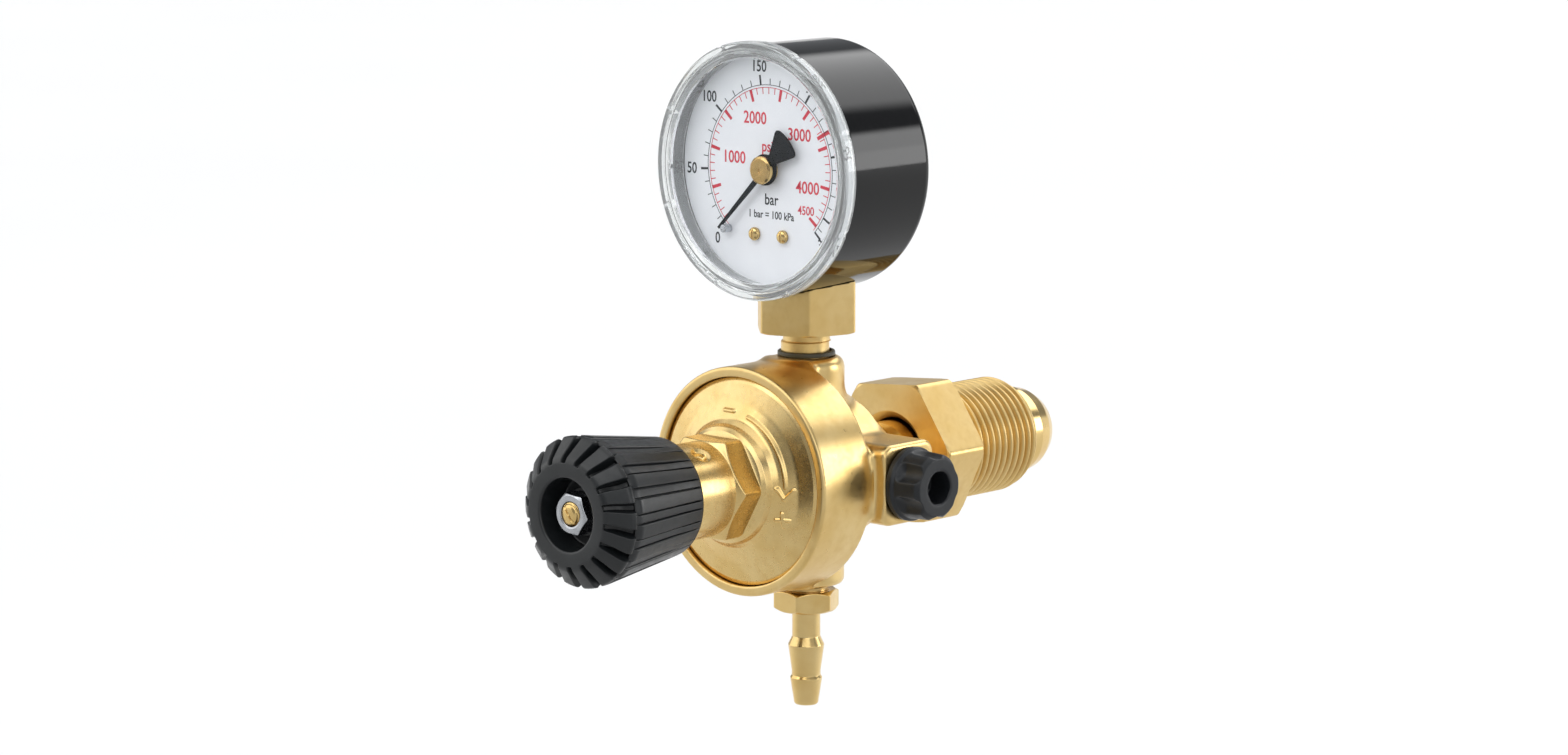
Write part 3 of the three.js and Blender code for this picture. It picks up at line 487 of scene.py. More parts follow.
def brass(name, roughness, axis=None, at=(0, 0, 0), marks=0.0, casting=0.0, crevice_shade=0.55):
    """Brass: turned where it has an axis for its tool marks, cast where it has a casting depth."""
    made = Shader(name, BRASS, roughness, metallic=1.0)
    clouds = made.noise(9, 3)
    colour = made.blend(made.spread(clouds, 0.3, 0.7, 0, 1), BRASS, BRASS_LIGHT)
    mottle = made.spread(made.noise(2.2, 4), 0.45, 0.75, 0, 0.3)
    colour = made.blend(mottle, colour, BRASS_DEEP)
    # Painted shade: ambient occlusion darkens corners and holes towards brown, by up to the given
    # share.
    if crevice_shade:
        crevice = made.spread(made.crevice(2.4), 0.25, 0.9, 0, crevice_shade)
        colour = made.blend(crevice, colour, BRASS_PAINTED_SHADE)
    made.colour = colour
    made.roughness = made.spread(made.noise(1.1, 5), 0.3, 0.75, 0.88 * roughness, 1.15 * roughness)
    if casting:
        made.bump(made.noise(4.5, 2), 1.6 * casting, 0.5)
        made.bump(made.noise(0.55, 3), casting, 0.5)
    if axis:
        vector = made.lathe_vector(axis, at)
        made.bump(made.noise(0.22, 3, vector, "2D"), marks, 0.7)
        made.bump(made.noise(1.6, 1, vector, "2D"), 1.2 * marks, 0.3)
    return made.done()


def plated_steel(name, colour, roughness, grain=0.5, depth=0.004):
    made = Shader(name, colour, roughness, metallic=1.0)
    deep = tuple(0.62 * c for c in colour)
    made.colour = made.blend(made.spread(made.noise(1.7, 4), 0.35, 0.8, 0, 0.7), colour, deep)
    made.roughness = made.spread(made.noise(0.8, 4), 0.3, 0.7, 0.75 * roughness, 1.35 * roughness)
    made.bump(made.noise(grain, 3), depth, 0.6)
    return made.done()


def moulded(name, colour, roughness, grain=0.18, depth=0.012, light=None, shine=0.5):
    """Moulded plastic, rubber or enamel with a fine skin."""
    made = Shader(name, colour, roughness)
    made.surface.inputs["Specular IOR Level"].default_value = shine
    light = light or tuple(min(1.0, 1.5 * c + 0.004) for c in colour)
    made.colour = made.blend(made.spread(made.noise(3.2, 4), 0.35, 0.75, 0, 0.8), colour, light)
    made.roughness = made.spread(made.noise(1.3, 4), 0.3, 0.7, 0.85 * roughness, 1.2 * roughness)
    made.bump(made.noise(grain, 2), depth, 0.6)
    return made.done()


def enamel(name, colour, roughness):
    """Gloss enamel: a hard coat with a little orange peel."""
    made = Shader(name, colour, roughness)
    made.surface.inputs["IOR"].default_value = 1.4
    dust = made.spread(made.noise(0.7, 5), 0.62, 0.8, 0, 0.5)
    made.colour = made.blend(dust, colour, tuple(c + 0.012 for c in colour))
    made.roughness = made.spread(made.noise(2.4, 4), 0.3, 0.8, 0.7 * roughness, 1.6 * roughness)
    made.bump(made.noise(1.9, 2), 0.006, 0.35)
    return made.done()


def clear_plastic(name, tint, roughness, clearness=1.0, ior=1.49):
    """Clear plastic that lets lamps through, so that what is behind it stays lit."""
    made = Shader(name, tint, roughness)
    made.surface.inputs["Transmission Weight"].default_value = clearness
    made.surface.inputs["IOR"].default_value = ior
    made.roughness = made.spread(made.noise(2.5, 4), 0.35, 0.75, 0.6 * roughness, 2.2 * roughness)
    made.bump(made.noise(6, 2), 0.02, 0.3)
    material = made.done()
    passing = made.node("ShaderNodeBsdfTransparent", (*tint, 1)).outputs[0]
    for_lamps = made.node("ShaderNodeLightPath").outputs["Is Shadow Ray"]
    choice = made.node("ShaderNodeMixShader", for_lamps, made.surface.outputs[0], passing)
    made.feed(made.tree.nodes["Material Output"].inputs["Surface"], choice.outputs[0])
    return material


port_at = (0, PORT_Y, 0)
gauge_at = (0, 0, GAUGE_Z)
forged_brass = brass("forged_brass", 0.31, "y", marks=0.003, casting=0.006)
bonnet_brass = brass("bonnet_brass", 0.26, "y", marks=0.0007, casting=0.0015, crevice_shade=0.0)
nut_brass = brass("nut_brass", 0.36, "y", marks=0.003, casting=0.005, crevice_shade=0.7)
nose_brass = brass("nose_brass", 0.15, "y", marks=0.002)
barb_brass = brass("barb_brass", 0.24, "z", port_at, marks=0.004)
socket_brass = brass("socket_brass", 0.36, "z", port_at, marks=0.003, casting=0.004, crevice_shade=0.4)
small_brass = brass("small_brass", 0.18, "y", gauge_at, marks=0.002)
screw_brass = brass("screw_brass", 0.22, "y", marks=0.01, crevice_shade=0.8)
bronze = brass("bronze_sintered", 0.45, casting=0.03, crevice_shade=0.9)
zinc = plated_steel("zinc_plate", (0.56, 0.58, 0.61), 0.24)
steel = plated_steel("spring_steel", (0.42, 0.43, 0.45), 0.3)
black_plastic = moulded("black_plastic", (0.008, 0.0095, 0.0105), 0.34,
                        light=(0.013, 0.0155, 0.017), shine=0.52)
cap_plastic = moulded("cap_plastic", (0.009, 0.0105, 0.0125), 0.38, shine=0.38)
black_enamel = enamel("black_enamel", (0.0045, 0.0045, 0.005), 0.07)
rubber = moulded("black_rubber", (0.016, 0.016, 0.017), 0.7, grain=0.3, depth=0.02)
olive_rubber = moulded("olive_rubber", (0.045, 0.04, 0.02), 0.45, grain=0.3, depth=0.01,
                       light=(0.075, 0.066, 0.032))
nylon = moulded("nylon", (0.78, 0.76, 0.68), 0.45, light=(0.86, 0.84, 0.78))
dial_white = moulded("dial_white", (0.87, 0.885, 0.91), 0.4, grain=0.5, depth=0.003,
                     light=(0.90, 0.915, 0.935))
print_black = moulded("print_black", (0.02, 0.022, 0.025), 0.5, depth=0.002)
print_red = moulded("print_red", (0.62, 0.035, 0.06), 0.5, depth=0.002,
                    light=(0.70, 0.06, 0.09))
pointer_black = moulded("pointer_black", (0.01, 0.012, 0.014), 0.6, depth=0.003, shine=0.15)
pane_plastic = clear_plastic("clear_pane", (0.985, 0.99, 1.0), 0.02, ior=1.22)
rim_plastic = clear_plastic("clear_rim", (0.90, 0.92, 0.92), 0.06, clearness=0.86)

# ---- body


def rounded_cylinder(radial, along, radius, low, high, edge):
    """Distance to a cylinder with rounded edges."""
    out = radial - radius + edge
    beyond = np.abs(along - (low + high) / 2) - (high - low) / 2 + edge
    outside = np.hypot(np.maximum(out, 0), np.maximum(beyond, 0))
    return np.minimum(np.maximum(out, beyond), 0) + outside - edge


def body_field(x, y, z):
    """The forging: disc, hub, side block and bosses, less its chambers and bores."""
    ring = np.hypot(x, z)
    port_ring = np.hypot(x, y - PORT_Y)
    disc = rounded_cylinder(ring, y, DISC_R, 0, DISC_END, 0.55)
    hub_radius = np.interp(y, [DISC_END, 15.2, 20], [21.1, 17.5, HUB_R])
    hub = soft_max(0.8 * (ring - hub_radius), np.maximum(y - HUB_END, 10 - y), 1.2)
    half_y = (BLOCK_HIGH - BLOCK_LOW) / 2
    past_x = np.abs(x - BLOCK_X / 2) - BLOCK_X / 2
    past_y = np.abs(y - RELIEF_Y) - half_y + BLOCK_CORNER
    past_z = np.abs(z) - BLOCK_HALF_HEIGHT + BLOCK_CORNER
    beyond = np.hypot(np.maximum(past_y, 0), np.maximum(past_z, 0))
    section = beyond + np.minimum(np.maximum(past_y, past_z), 0) - BLOCK_CORNER
    block = soft_max(section, past_x, 1.0)
    from_hollow = (x - 23.4) ** 2 * 0.9 + (y - BLOCK_LOW + 5.6) ** 2 + (z * 0.42) ** 2
    block = soft_max(block, 6.1 - np.sqrt(from_hollow), 0.5)
    boss_crown = np.where(z > 0, 2.6, 1.6)
    boss = soft_max(port_ring - BOSS_R, np.abs(z) - PORT_FACE, boss_crown)
    rear = soft_min(hub, block, 2.6)
    whole = soft_min(disc, rear, 0.5)
    whole = soft_min(whole, boss, 3.4)
    whole = soft_max(whole, np.abs(z) - PORT_FACE, 0.3)

    cup = np.maximum(ring - CUP_R, y - 7.3)
    chamber = np.maximum(ring - 16.5, y - 10.3)
    pocket = np.maximum(ring - 5.3, y - 15.5)
    valve_bore = ring - 4.3
    nipple_bore = np.maximum(ring - 5.3, 20.7 - y)
    ports = np.maximum(port_ring - PORT_THREAD_R - 0.3, 13.5 - np.abs(z))
    relief_bore = np.maximum(np.hypot(y - RELIEF_Y, z) - 4.3, 13 - x)
    hollow = cup
    for bore in (chamber, pocket, valve_bore, nipple_bore, ports, relief_bore):
        hollow = np.minimum(hollow, bore)
    return soft_max(whole, -hollow, 0.25)


def make_body():
    cell = 0.3
    low = (-DISC_R - 1, -1, -PORT_FACE - 1)
    high = (BLOCK_X + 1, HUB_END + 1, PORT_FACE + 1)
    points, faces = surface_net(body_field, low, high, cell)
    made = new_object("body_forging", points, faces.tolist())
    finished(made, "body", forged_brass, weighted=False)


# ---- bonnet


def stroke(x, z, start, end):
    """Distance from a straight stroke."""
    (x0, z0), (x1, z1) = start, end
    dx, dz = x1 - x0, z1 - z0
    share = np.clip(((x - x0) * dx + (z - z0) * dz) / (dx * dx + dz * dz), 0, 1)
    return np.hypot(x - x0 - share * dx, z - z0 - share * dz)


def polar(radius, degrees):
    return radius * math.cos(math.radians(degrees)), radius * math.sin(math.radians(degrees))


def raised(distance):
    """Height of a raised line at a distance from its middle."""
    return SIGN_HEIGHT * (1 - smooth(distance, 0.05, 0.5))


def sign_height(x, z):
    """Height of the raised signs on the bonnet: a turning arrow, a plus and a minus."""
    radius, angle = np.hypot(x, z), np.degrees(np.arctan2(z, x))
    arc_start, arc_end = 74, 3
    beyond = np.maximum(np.maximum(angle - arc_start, arc_end - angle), 0)
    height = raised(np.hypot(radius - SIGN_R, np.radians(beyond) * SIGN_R))
    tip = polar(SIGN_R - 0.2, -7)
    for start in (polar(SIGN_R - 1.4, 2), polar(SIGN_R + 1.5, 1)):
        height = np.maximum(height, raised(stroke(x, z, start, tip)))
    for centre_angle, arms in ((-24, ((1, 0), (0, 1))), (95, ((1, 0),))):
        centre = np.array(polar(SIGN_R + 0.3, centre_angle))
        for arm in arms:
            reach = 1.25 * np.array(arm)
            height = np.maximum(height, raised(stroke(x, z, centre - reach, centre + reach)))
    return height


def bonnet_shape(radius, along, angle):
    """The hexagon, the signs on the face, and the vent hole in the neck."""
    in_hex = (along > -10.3) & (along < -4.75) & (radius > 8.5)
    flats = hex_radius(angle, BONNET_HEX, 0, 0.5)
    radius = np.where(in_hex, soft_min(radius, flats, 0.25), radius)
    on_face = (along < 1.2) & (along > -2.6) & (radius > 11.5) & (radius < 19.2)
    x, z = radius * np.cos(angle), radius * np.sin(angle)
    along = along - np.where(on_face, sign_height(x, z), 0)
    on_neck = (np.abs(along - VENT_Y) < 2.4) & (radius > 9)
    from_vent = np.hypot(BONNET_NECK_R * (angle - math.radians(VENT_ANGLE)), along - VENT_Y)
    dent = 1.1 * (1 - smooth(from_vent, 1.15, 1.4)) + 0.35 * (1 - smooth(from_vent, 1.4, 2))
    return radius - np.where(on_neck, dent, 0), along


def make_bonnet():
    lathed("bonnet", "turned", [
        (5.3, -27, 0.3), (BONNET_NECK_R, -27, 0.6), (BONNET_NECK_R, -10.15, 0.1),
        (10.75, -9.15, 0.25), (10.75, -5.5, 0.3), (10.35, -4.75, 0.15), (11.1, -4.1, 0.4),
        (11.5, -2.9, 0.8), (12.4, -1.75, 1.5), (15.5, -0.25, 4), (18.9, 0.42, 0.4),
        (BONNET_R, 0.95, 0.35), (BONNET_R, 4.6, 0.1), (16.2, 4.6, 0.1), (16.2, 2.9, 0.1),
        (12.4, 2.4, 0.1), (7.4, 0.6, 0.1), (7.4, -17.5, 0.1), (5.3, -17.5, 0.1),
    ], 540, bonnet_brass, shape=bonnet_shape, finer=(
        (0.12, lambda r, a: 11.4 < r < 17.5 and -3 < a < 0.45),
        (0.25, lambda r, a: r > 9 and -10.4 < a < -4.6),
        (1.2, lambda r, a: r > 9 and a < -10.2),
        (0.15, lambda r, a: r > 9 and -17.6 < a < -12.4),
    ))


# ---- knob


def wave(angle, count, half_width, edge, offset=0.0):
    """1 on each of count equal lands round a circle and 0 between them. Widths are in degrees."""
    pitch = 360 / count
    aside = np.abs(np.mod(np.degrees(angle) - offset + pitch / 2, pitch) - pitch / 2)
    return 1 - smooth(aside, half_width - edge, half_width + edge)


def knob_shape(radius, along, angle):
    """Lugs on the bevel, long grooves behind them and a ring groove between."""
    outside = (radius > 9.5) & (along > KNOB_FRONT - 0.1)
    pitch = 360 / KNOB_LUGS
    twist = 3.5
    lugs = wave(angle, KNOB_LUGS, 7.0, 1.1, 4 - twist * smooth(radius, 9.6, 14))
    on_bevel = smooth(radius, 9.55, 9.95) * (1 - smooth(along, -41.35, -41.1))
    notch = 2.3 * (1 - lugs) * on_bevel * (0.35 + 0.65 * smooth(radius, 9.4, 12.5))

    narrow = wave(angle, KNOB_LUGS, 3.3, 0.35, 4 - twist)
    wide = wave(angle, KNOB_LUGS, 5.5, 0.35, 4 - twist + pitch / 2)
    behind = smooth(along, -41.0, -40.6) * (1 - smooth(along, -22.4, -21.2))
    groove = 0.85 * (1 - np.maximum(narrow, wide)) * behind
    lower = 0.32 * narrow * behind * (1 - smooth(along, -30, -22))
    ring_groove = 0.75 * (smooth(along, -41.5, -41.2) - smooth(along, -40.8, -40.5))
    ring_groove = ring_groove * smooth(radius, 12, 13)
    radial = 0.62 * notch + np.where(notch > 0, 0, groove + lower) + ring_groove
    radius = radius - np.where(outside, radial, 0)
    along = along + np.where(outside, 0.78 * notch, 0)
    return radius, along


def make_knob():
    lathed("knob", "moulding", [
        (9.5, KNOB_BACK, 0.3), (11.3, KNOB_BACK, 0.5), (KNOB_R, KNOB_SHOULDER + 1.2, 0.9),
        (KNOB_R, KNOB_SHOULDER, 2.6), (10.1, KNOB_FRONT, 2.2), (6.75, KNOB_FRONT, 0.6),
        (6.75, -39.5, 0.5), (4.6, -39.5, 0.3), (4.6, -41.1, 0.25), (2.5, -41.1, 0.15),
        (2.5, -37.5, 0.2), (9.5, -37.5, 0.2),
    ], 1080, black_plastic, shape=knob_shape, arc=6, finer=(
        (0.16, lambda r, a: r > 9.3 and a < -40.4),
        (0.9, lambda r, a: r > 11 and a < -21),
    ))


def hex_piece(across_flats, vertex_angle, low, high, blend=0.25):
    """A shape function that gives a turned piece hexagon flats between low and high."""

    def shape(radius, along, angle):
        flats = hex_radius(angle, across_flats, vertex_angle, blend)
        inside = (along >= low) & (along <= high) & (radius > 0.36 * across_flats)
        return np.where(inside, soft_min(radius, flats, 0.15), radius), along

    return shape


def make_knob_nut():
    corner = KNOB_NUT_HEX / math.sqrt(3)
    lathed("knob_nut", "plated", [
        (2.35, -44.5, 0.1), (2.7, -44.6, 0.05), (3.45, -44.6, 0.15), (corner, -44.15, 0.1),
        (corner, -41.8, 0.1), (3.5, -41.4, 0.1), (2.35, -41.4, 0.1),
    ], 216, zinc, shape=hex_piece(KNOB_NUT_HEX, -7, -44.61, -41.39),
        finer=((0.12, lambda r, a: r > 3),))


def screw_shape(radius, along, angle):
    """The M10 thread, the rolled end and its sawn face."""
    on_thread = (along > -37) & (along < -18.5) & (radius > 4.9)
    radius = radius - np.where(on_thread, 0.7 * thread_depth(angle, along, 1.25), 0)
    on_end = (along < -38) & (along > -44.6) & (radius > 1.9)
    radius = radius - np.where(on_end, 0.28 * thread_depth(angle, along, 0.7), 0)
    x, z = radius * np.cos(angle), radius * np.sin(angle)
    slot = smooth(0.28 - np.abs(x * 0.8 + z * 0.6), 0, 0.1) * (along < -44.5)
    return radius, along + 0.35 * slot


def make_adjusting_screw():
    lathed("adjusting_screw", "threaded", [
        (0, -45.1), (0.6, -45.08), (1.3, -45.02), (1.75, -44.85), (2.2, -44.4), (2.2, -38),
        (2.2, -37.2), (5, -37.2), (5, -18.8), (3.4, -16.8), (0, -16.8),
    ], 120, screw_brass, shape=screw_shape, corner=0.15,
        finer=((0.12, lambda r, a: r > 1.9 or a < -44),))


# ---- inlet


def make_nipple():
    lathed("inlet_nipple", "turned", [
        (3.3, 21, 0.1), (5, 21, 0.3), (5, 28.9, 0.1), (6.45, 28.9, 0.5), (6.45, 75.9, 0.2),
        (8.9, 75.9, 0.5), (8.9, 79.6, 1.5), (8.35, 82.4, 3), (7.05, 84.8, 3), (5.1, 86.55, 2),
        (2.8, NOSE_TIP, 0.5), (1.5, NOSE_TIP, 0.3), (1.5, 80, 0.1), (2.6, 80, 0.1),
        (2.6, 24.5, 0.1), (3.3, 24.5, 0.1),
    ], 160, nose_brass, arc=8)


def nut_shape(radius, along, angle):
    """The hexagon, and the thread with its run-in and run-out."""
    flats = hex_radius(angle, NUT_HEX, 4.7, 0.7)
    in_hex = (along < NUT_SHOULDER + 0.01) & (radius > 9.5)
    radius = np.where(in_hex, soft_min(radius, flats, 0.3), radius)
    run_in, run_out = NUT_SHOULDER + 1.7, NUT_END - 0.35
    on_thread = (along > run_in) & (radius > 9.5)
    fade = smooth(along, run_in, run_in + 0.9) * (1 - smooth(along, run_out - 0.5, run_out))
    depth = 1.15 * thread_depth(angle, along, INLET_PITCH) * fade
    limit = INLET_THREAD_R - 1.12
    cut_radius = np.maximum(radius - depth, np.minimum(radius, limit))
    return np.where(on_thread, cut_radius, radius), along


def make_nut():
    corner = NUT_HEX / math.sqrt(3) - 0.05
    lathed("inlet_nut", "threaded", [
        (6.9, NUT_FRONT + 1.3, 0.15), (8.3, NUT_FRONT, 0.2), (14.7, NUT_FRONT, 0.3),
        (corner, NUT_FRONT + 0.45, 0.3), (corner, NUT_SHOULDER - 0.45, 0.3),
        (14.7, NUT_SHOULDER, 0.3), (10.35, NUT_SHOULDER, 0.3), (10.35, NUT_SHOULDER + 1.6, 0.3),
        (INLET_THREAD_R, NUT_SHOULDER + 2.4, 0.2), (INLET_THREAD_R, NUT_END - 1.8, 0.2),
        (10.55, NUT_END, 0.25), (6.9, NUT_END, 0.3),
    ], 360, nut_brass, shape=nut_shape, finer=(
        (0.11, lambda r, a: r > 9.5 and a > 55),
        (0.4, lambda r, a: r > 12.5 and a < 54.1),
    ))


# ---- outlet and relief valve


def make_hose_barb():
    corner = BARB_HEX / math.sqrt(3)
    lathed("hose_barb", "turned", [
        (1.4, -46, 0.15), (2.1, -46, 0.2), (2.35, -45.7, 0.2), (3.1, -40.75, 0.12),
        (2.8, -40.25, 0.1), (2.8, -39.4, 0.4), (3.5, -34.25, 0.3), (2.72, -32.6, 0.5),
        (2.72, -27.4, 0.2), (5.45, -27.4, 0.25), (corner, -26.75, 0.2), (corner, -23.95, 0.2),
        (5.5, -23.3, 0.25), (4.3, -23.3, 0.1), (4.3, -22.6, 0.1), (4.8, -22.4, 0.1),
        (4.8, -14.6, 0.1), (4.1, -13.8, 0.1), (1.4, -13.8, 0.1),
    ], 216, barb_brass, "z", port_at, arc=5,
        shape=hex_piece(BARB_HEX, -3.5, -27.41, -23.29, 0.3),
        finer=((0.2, lambda r, a: r > 4.6 and a < -23),))


def relief_shape(radius, along, angle):
    """Six scallops round the head and a hexagonal socket."""
    scoop_at, scoop_r = 8.3, 2.9
    offset = np.radians(np.mod(np.degrees(angle), 60) - 30)
    aside = scoop_at * np.abs(np.sin(offset))
    scoop = scoop_at * np.cos(offset) - np.sqrt(np.maximum(scoop_r**2 - aside**2, 0))
    scoop = np.where(aside < scoop_r, scoop, 99) + 0.6 * (1 - smooth(along, 26.6, 27.6))
    on_head = (along > 26.6) & (radius > 4.5)
    radius = np.where(on_head, soft_min(radius, scoop, 0.35), radius)
    in_socket = (along > 27.15) & (radius < 3.6) & (radius > 2.2)
    return np.where(in_socket, np.minimum(radius, hex_radius(angle, 6.2, 0, 1.6)), radius), along


def make_relief_cap():
    lathed("relief_cap", "moulding", [
        (1.6, 22.9, 0.1), (3.3, 22.9, 0.1), (3.3, 18.5, 0.1), (4, 18.5, 0.1), (4, 24.7, 0.1),
        (7.05, 24.7, 0.25), (7.05, 25.9, 0.4), (6.55, 26.35, 0.3), (6.3, 31.2, 0.4),
        (5.6, 32, 0.5), (3.4, 32, 0.35), (3.3, 27.2, 0.2), (1.6, 27.2, 0.1),
    ], 240, cap_plastic, "x", (0, RELIEF_Y, 0), relief_shape, arc=5,
        finer=((0.3, lambda r, a: r > 3 and a > 25),))


# ---- gauge socket and gasket


def socket_shape(radius, along, angle):
    """The stem's thread, and the hexagon with its top hollowed to the case."""
    on_thread = (along < 25) & (along > 15.6) & (radius > 4)
    radius = radius - np.where(on_thread, 0.5 * thread_depth(angle, along, PORT_PITCH), 0)
    in_hex = (along >= 26.85) & (radius > 7)
    flats = hex_radius(angle, SOCKET_HEX, 16, 0.35)
    radius = np.where(in_hex, soft_min(radius, flats, 0.15), radius)
    x = radius * np.cos(angle)
    under_case = GAUGE_Z - np.sqrt((CASE_R + 0.06) ** 2 - x**2)
    return radius, np.minimum(along, under_case)


def make_gauge_socket():
    corner = SOCKET_HEX / math.sqrt(3)
    top = GAUGE_Z - CASE_R + 3
    lathed("gauge_socket", "hexagon", [
        (0, 14.8), (4, 14.8, 0.1), (PORT_THREAD_R, 15.6, 0.1), (PORT_THREAD_R, 24.9, 0.1),
        (4.5, 25.15, 0.1), (4.5, 26.9, 0.25), (9.7, 26.9, 0.2), (corner, 27.2, 0.2),
        (corner, top - 0.4, 0.3), (9.5, top, 0.2), (0, top),
    ], 288, socket_brass, "z", port_at, socket_shape, finer=(
        (0.09, lambda r, a: r > 4.2 and 22 < a < 25.2),
        (0.4, lambda r, a: a > 26.8),
    ))


def make_gasket():
    lathed("gauge_gasket", "ring", [
        (4.9, 22.25, 0.2), (5.55, 22.25, 0.2), (5.5, 23.1, 0.4), (4.9, 23.2, 0.2),
    ], 120, olive_rubber, "z", port_at)


# ---- gauge case and window


def plug_cutter(name, radius, low, high, segments, *place):
    """A plain cylinder that cuts a round hole."""
    return turned(name, [(0, low), (radius, low), (radius, high), (0, high)], segments, *place)


def make_case():
    wall = 0.9
    inner = CASE_R - wall
    profile = soften([
        (0, CASE_BACK), (CASE_R - 0.1, CASE_BACK, 2), (CASE_R, CASE_FRONT, 0.35),
        (inner, CASE_FRONT, 0.2), (inner, CASE_BACK - wall, 1.4), (0, CASE_BACK - wall),
    ], arc=10)
    made = turned("gauge_case_enamelled", profile, 256, at=gauge_at)
    holes = [
        plug_cutter("socket_hole", 5.3, 20, 30, 48, "z", port_at),
        plug_cutter("blowout_hole", 3.2, 26, 29, 48, "y", (0, 0, PLUG_Z)),
    ]
    for x in (-SCREW_X, SCREW_X):
        holes.append(plug_cutter("screw_hole", 1.5, 26, 29, 24, "y", (x, 0, CASE_SCREW_Z)))
    finished(cut(made, *holes), "gauge_case", black_enamel)


def window_shape(radius, along, angle):
    """Small moulded notches round the rim of the snap-on window."""
    notches = wave(angle, 8, 1.3, 0.35, 20) * smooth(radius, 24.1, 24.3)
    return radius - 0.16 * notches, along


def make_window():
    pane = [(0, 4.0), (21.35, 4.0, 0.2), (21.35, 5.2, 0.2), (0, 5.2)]
    lathed("gauge_window", "pane", pane, 192, pane_plastic, at=gauge_at)
    lathed("gauge_window", "rim", [
        (21.45, 4.1, 0.1), (22.0, 3.5, 0.2), (22.35, 3.55, 0.1), (22.55, 3.85, 0.1),
        (22.85, 3.85, 0.1), (23.05, 3.32, 0.15), (24.0, 3.32, 0.35), (24.42, 3.9, 0.3),
        (24.42, 6.05, 0.25), (22.6, 6.05, 0.2), (22.6, 8.5, 0.2), (21.7, 8.5, 0.15),
        (21.45, 5.4, 0.15),
    ], 480, rim_plastic, at=gauge_at, shape=window_shape, arc=5)


def slotted(depth, half_width, reach, head_y, cross):
    """A shape function that sinks a straight or cross-shaped slot into a screw head beyond
    head_y. A negative depth is for a head that faces -Y."""

    def shape(radius, along, angle):
        x, z = radius * np.cos(angle), radius * np.sin(angle)
        slot = smooth(half_width - np.abs(x), 0, 0.1) * (np.abs(z) < reach)
        if cross:
            slot = np.maximum(slot, smooth(half_width - np.abs(z), 0, 0.1) * (np.abs(x) < reach))
        facing = (along > head_y) if depth > 0 else (along < head_y)
        return radius, along - depth * slot * facing

    return shape


def make_case_back():
    lathed("blowout_plug", "moulding", [
        (0, 26.8), (2.9, 26.8, 0.1), (2.9, 28.4, 0.1), (3.9, 28.4, 0.15), (3.8, 29, 0.4),
        (2.6, 29.15, 0.3), (2.3, 28.95, 0.3), (0, 28.95),
    ], 64, rubber, at=(0, 0, PLUG_Z))
    shank = [(0, 20.6), (1.2, 20.6), (1.2, 28.5), (2.4, 28.5), (2.35, 29.2)]
    dome = [(2.4 * math.cos(a), 29.1 + 0.68 * math.sin(a)) for a in np.linspace(0.2, 1.5, 14)]
    profile = shank + dome + [(0.1, 29.78), (0, 29.78)]
    for k, x in enumerate((-SCREW_X, SCREW_X)):
        lathed(f"case_screw_{k + 1}", "head", profile, 96, zinc, at=(x, 0, CASE_SCREW_Z), corner=0,
               shape=slotted(0.8, 0.3, 1.4, 28.9, cross=True),
               finer=((0.1, lambda r, a: a > 28.6),))


# ---- dial and pointer


def sector(inner, outer, start, end, low, high, steps=1):
    """A flat piece of a ring as points and quads, about the gauge's centre. Angles in degrees."""
    points = []
    for k in range(steps + 1):
        angle = math.radians(start + (end - start) * k / steps)
        for radius, along in ((inner, low), (outer, low), (outer, high), (inner, high)):
            points.append((radius * math.cos(angle), along, GAUGE_Z + radius * math.sin(angle)))
    faces = [(3, 2, 1, 0), tuple(4 * steps + k for k in range(4))]
    for k in range(steps):
        here, there = 4 * k, 4 * k + 4
        for side in range(4):
            after = (side + 1) % 4
            faces.append((here + side, here + after, there + after, there + side))
    return points, faces


def mark(inner, outer, angle, width, low, high):
    """One tick of a scale."""
    half = math.degrees(width / 2 / ((inner + outer) / 2))
    return sector(inner, outer, angle - half, angle + half, low, high)


def from_curve(curve, middle, x=0.0, z=0.0, condensed=1.0):
    """Points and faces of a curve that faces -Y, with its origin at a place on the dial."""
    made = bpy.data.objects.new(curve.name, curve)
    bpy.context.scene.collection.objects.link(made)
    depsgraph = bpy.context.evaluated_depsgraph_get()
    mesh = bpy.data.meshes.new_from_object(made.evaluated_get(depsgraph))
    places = [v.co for v in mesh.vertices]
    points = [(x + condensed * p.x, middle - p.z, GAUGE_Z + z + p.y) for p in places]
    faces = [tuple(p.vertices) for p in mesh.polygons]
    bpy.data.objects.remove(made)
    bpy.data.curves.remove(curve)
    bpy.data.meshes.remove(mesh)
    return points, faces


def lettering(text, height, x, z, low, high, condensed=0.8):
    """Text as points and faces, centred on a place on the dial."""
    font = bpy.data.curves.new("lettering", "FONT")
    font.body = text
    font.align_x, font.align_y = "CENTER", "CENTER"
    font.size = height / 0.7
    font.extrude = (high - low) / 2
    font.resolution_u = 3
    font.offset = 0.012 * font.size
    return from_curve(font, (low + high) / 2, x, z, condensed)


def gathered(name, parts):
    """One object from several lists of points and faces."""
    points, faces = [], []
    for part_points, part_faces in parts:
        start = len(points)
        points += part_points
        faces += [tuple(start + i for i in face) for face in part_faces]
    made = new_object(name, points, faces)
    made.data.shade_flat()
    return made


def scale_angle(bar):
    return POINTER_ANGLE + SCALE_ROLL - SCALE_SWEEP * bar / FULL_SCALE_BAR


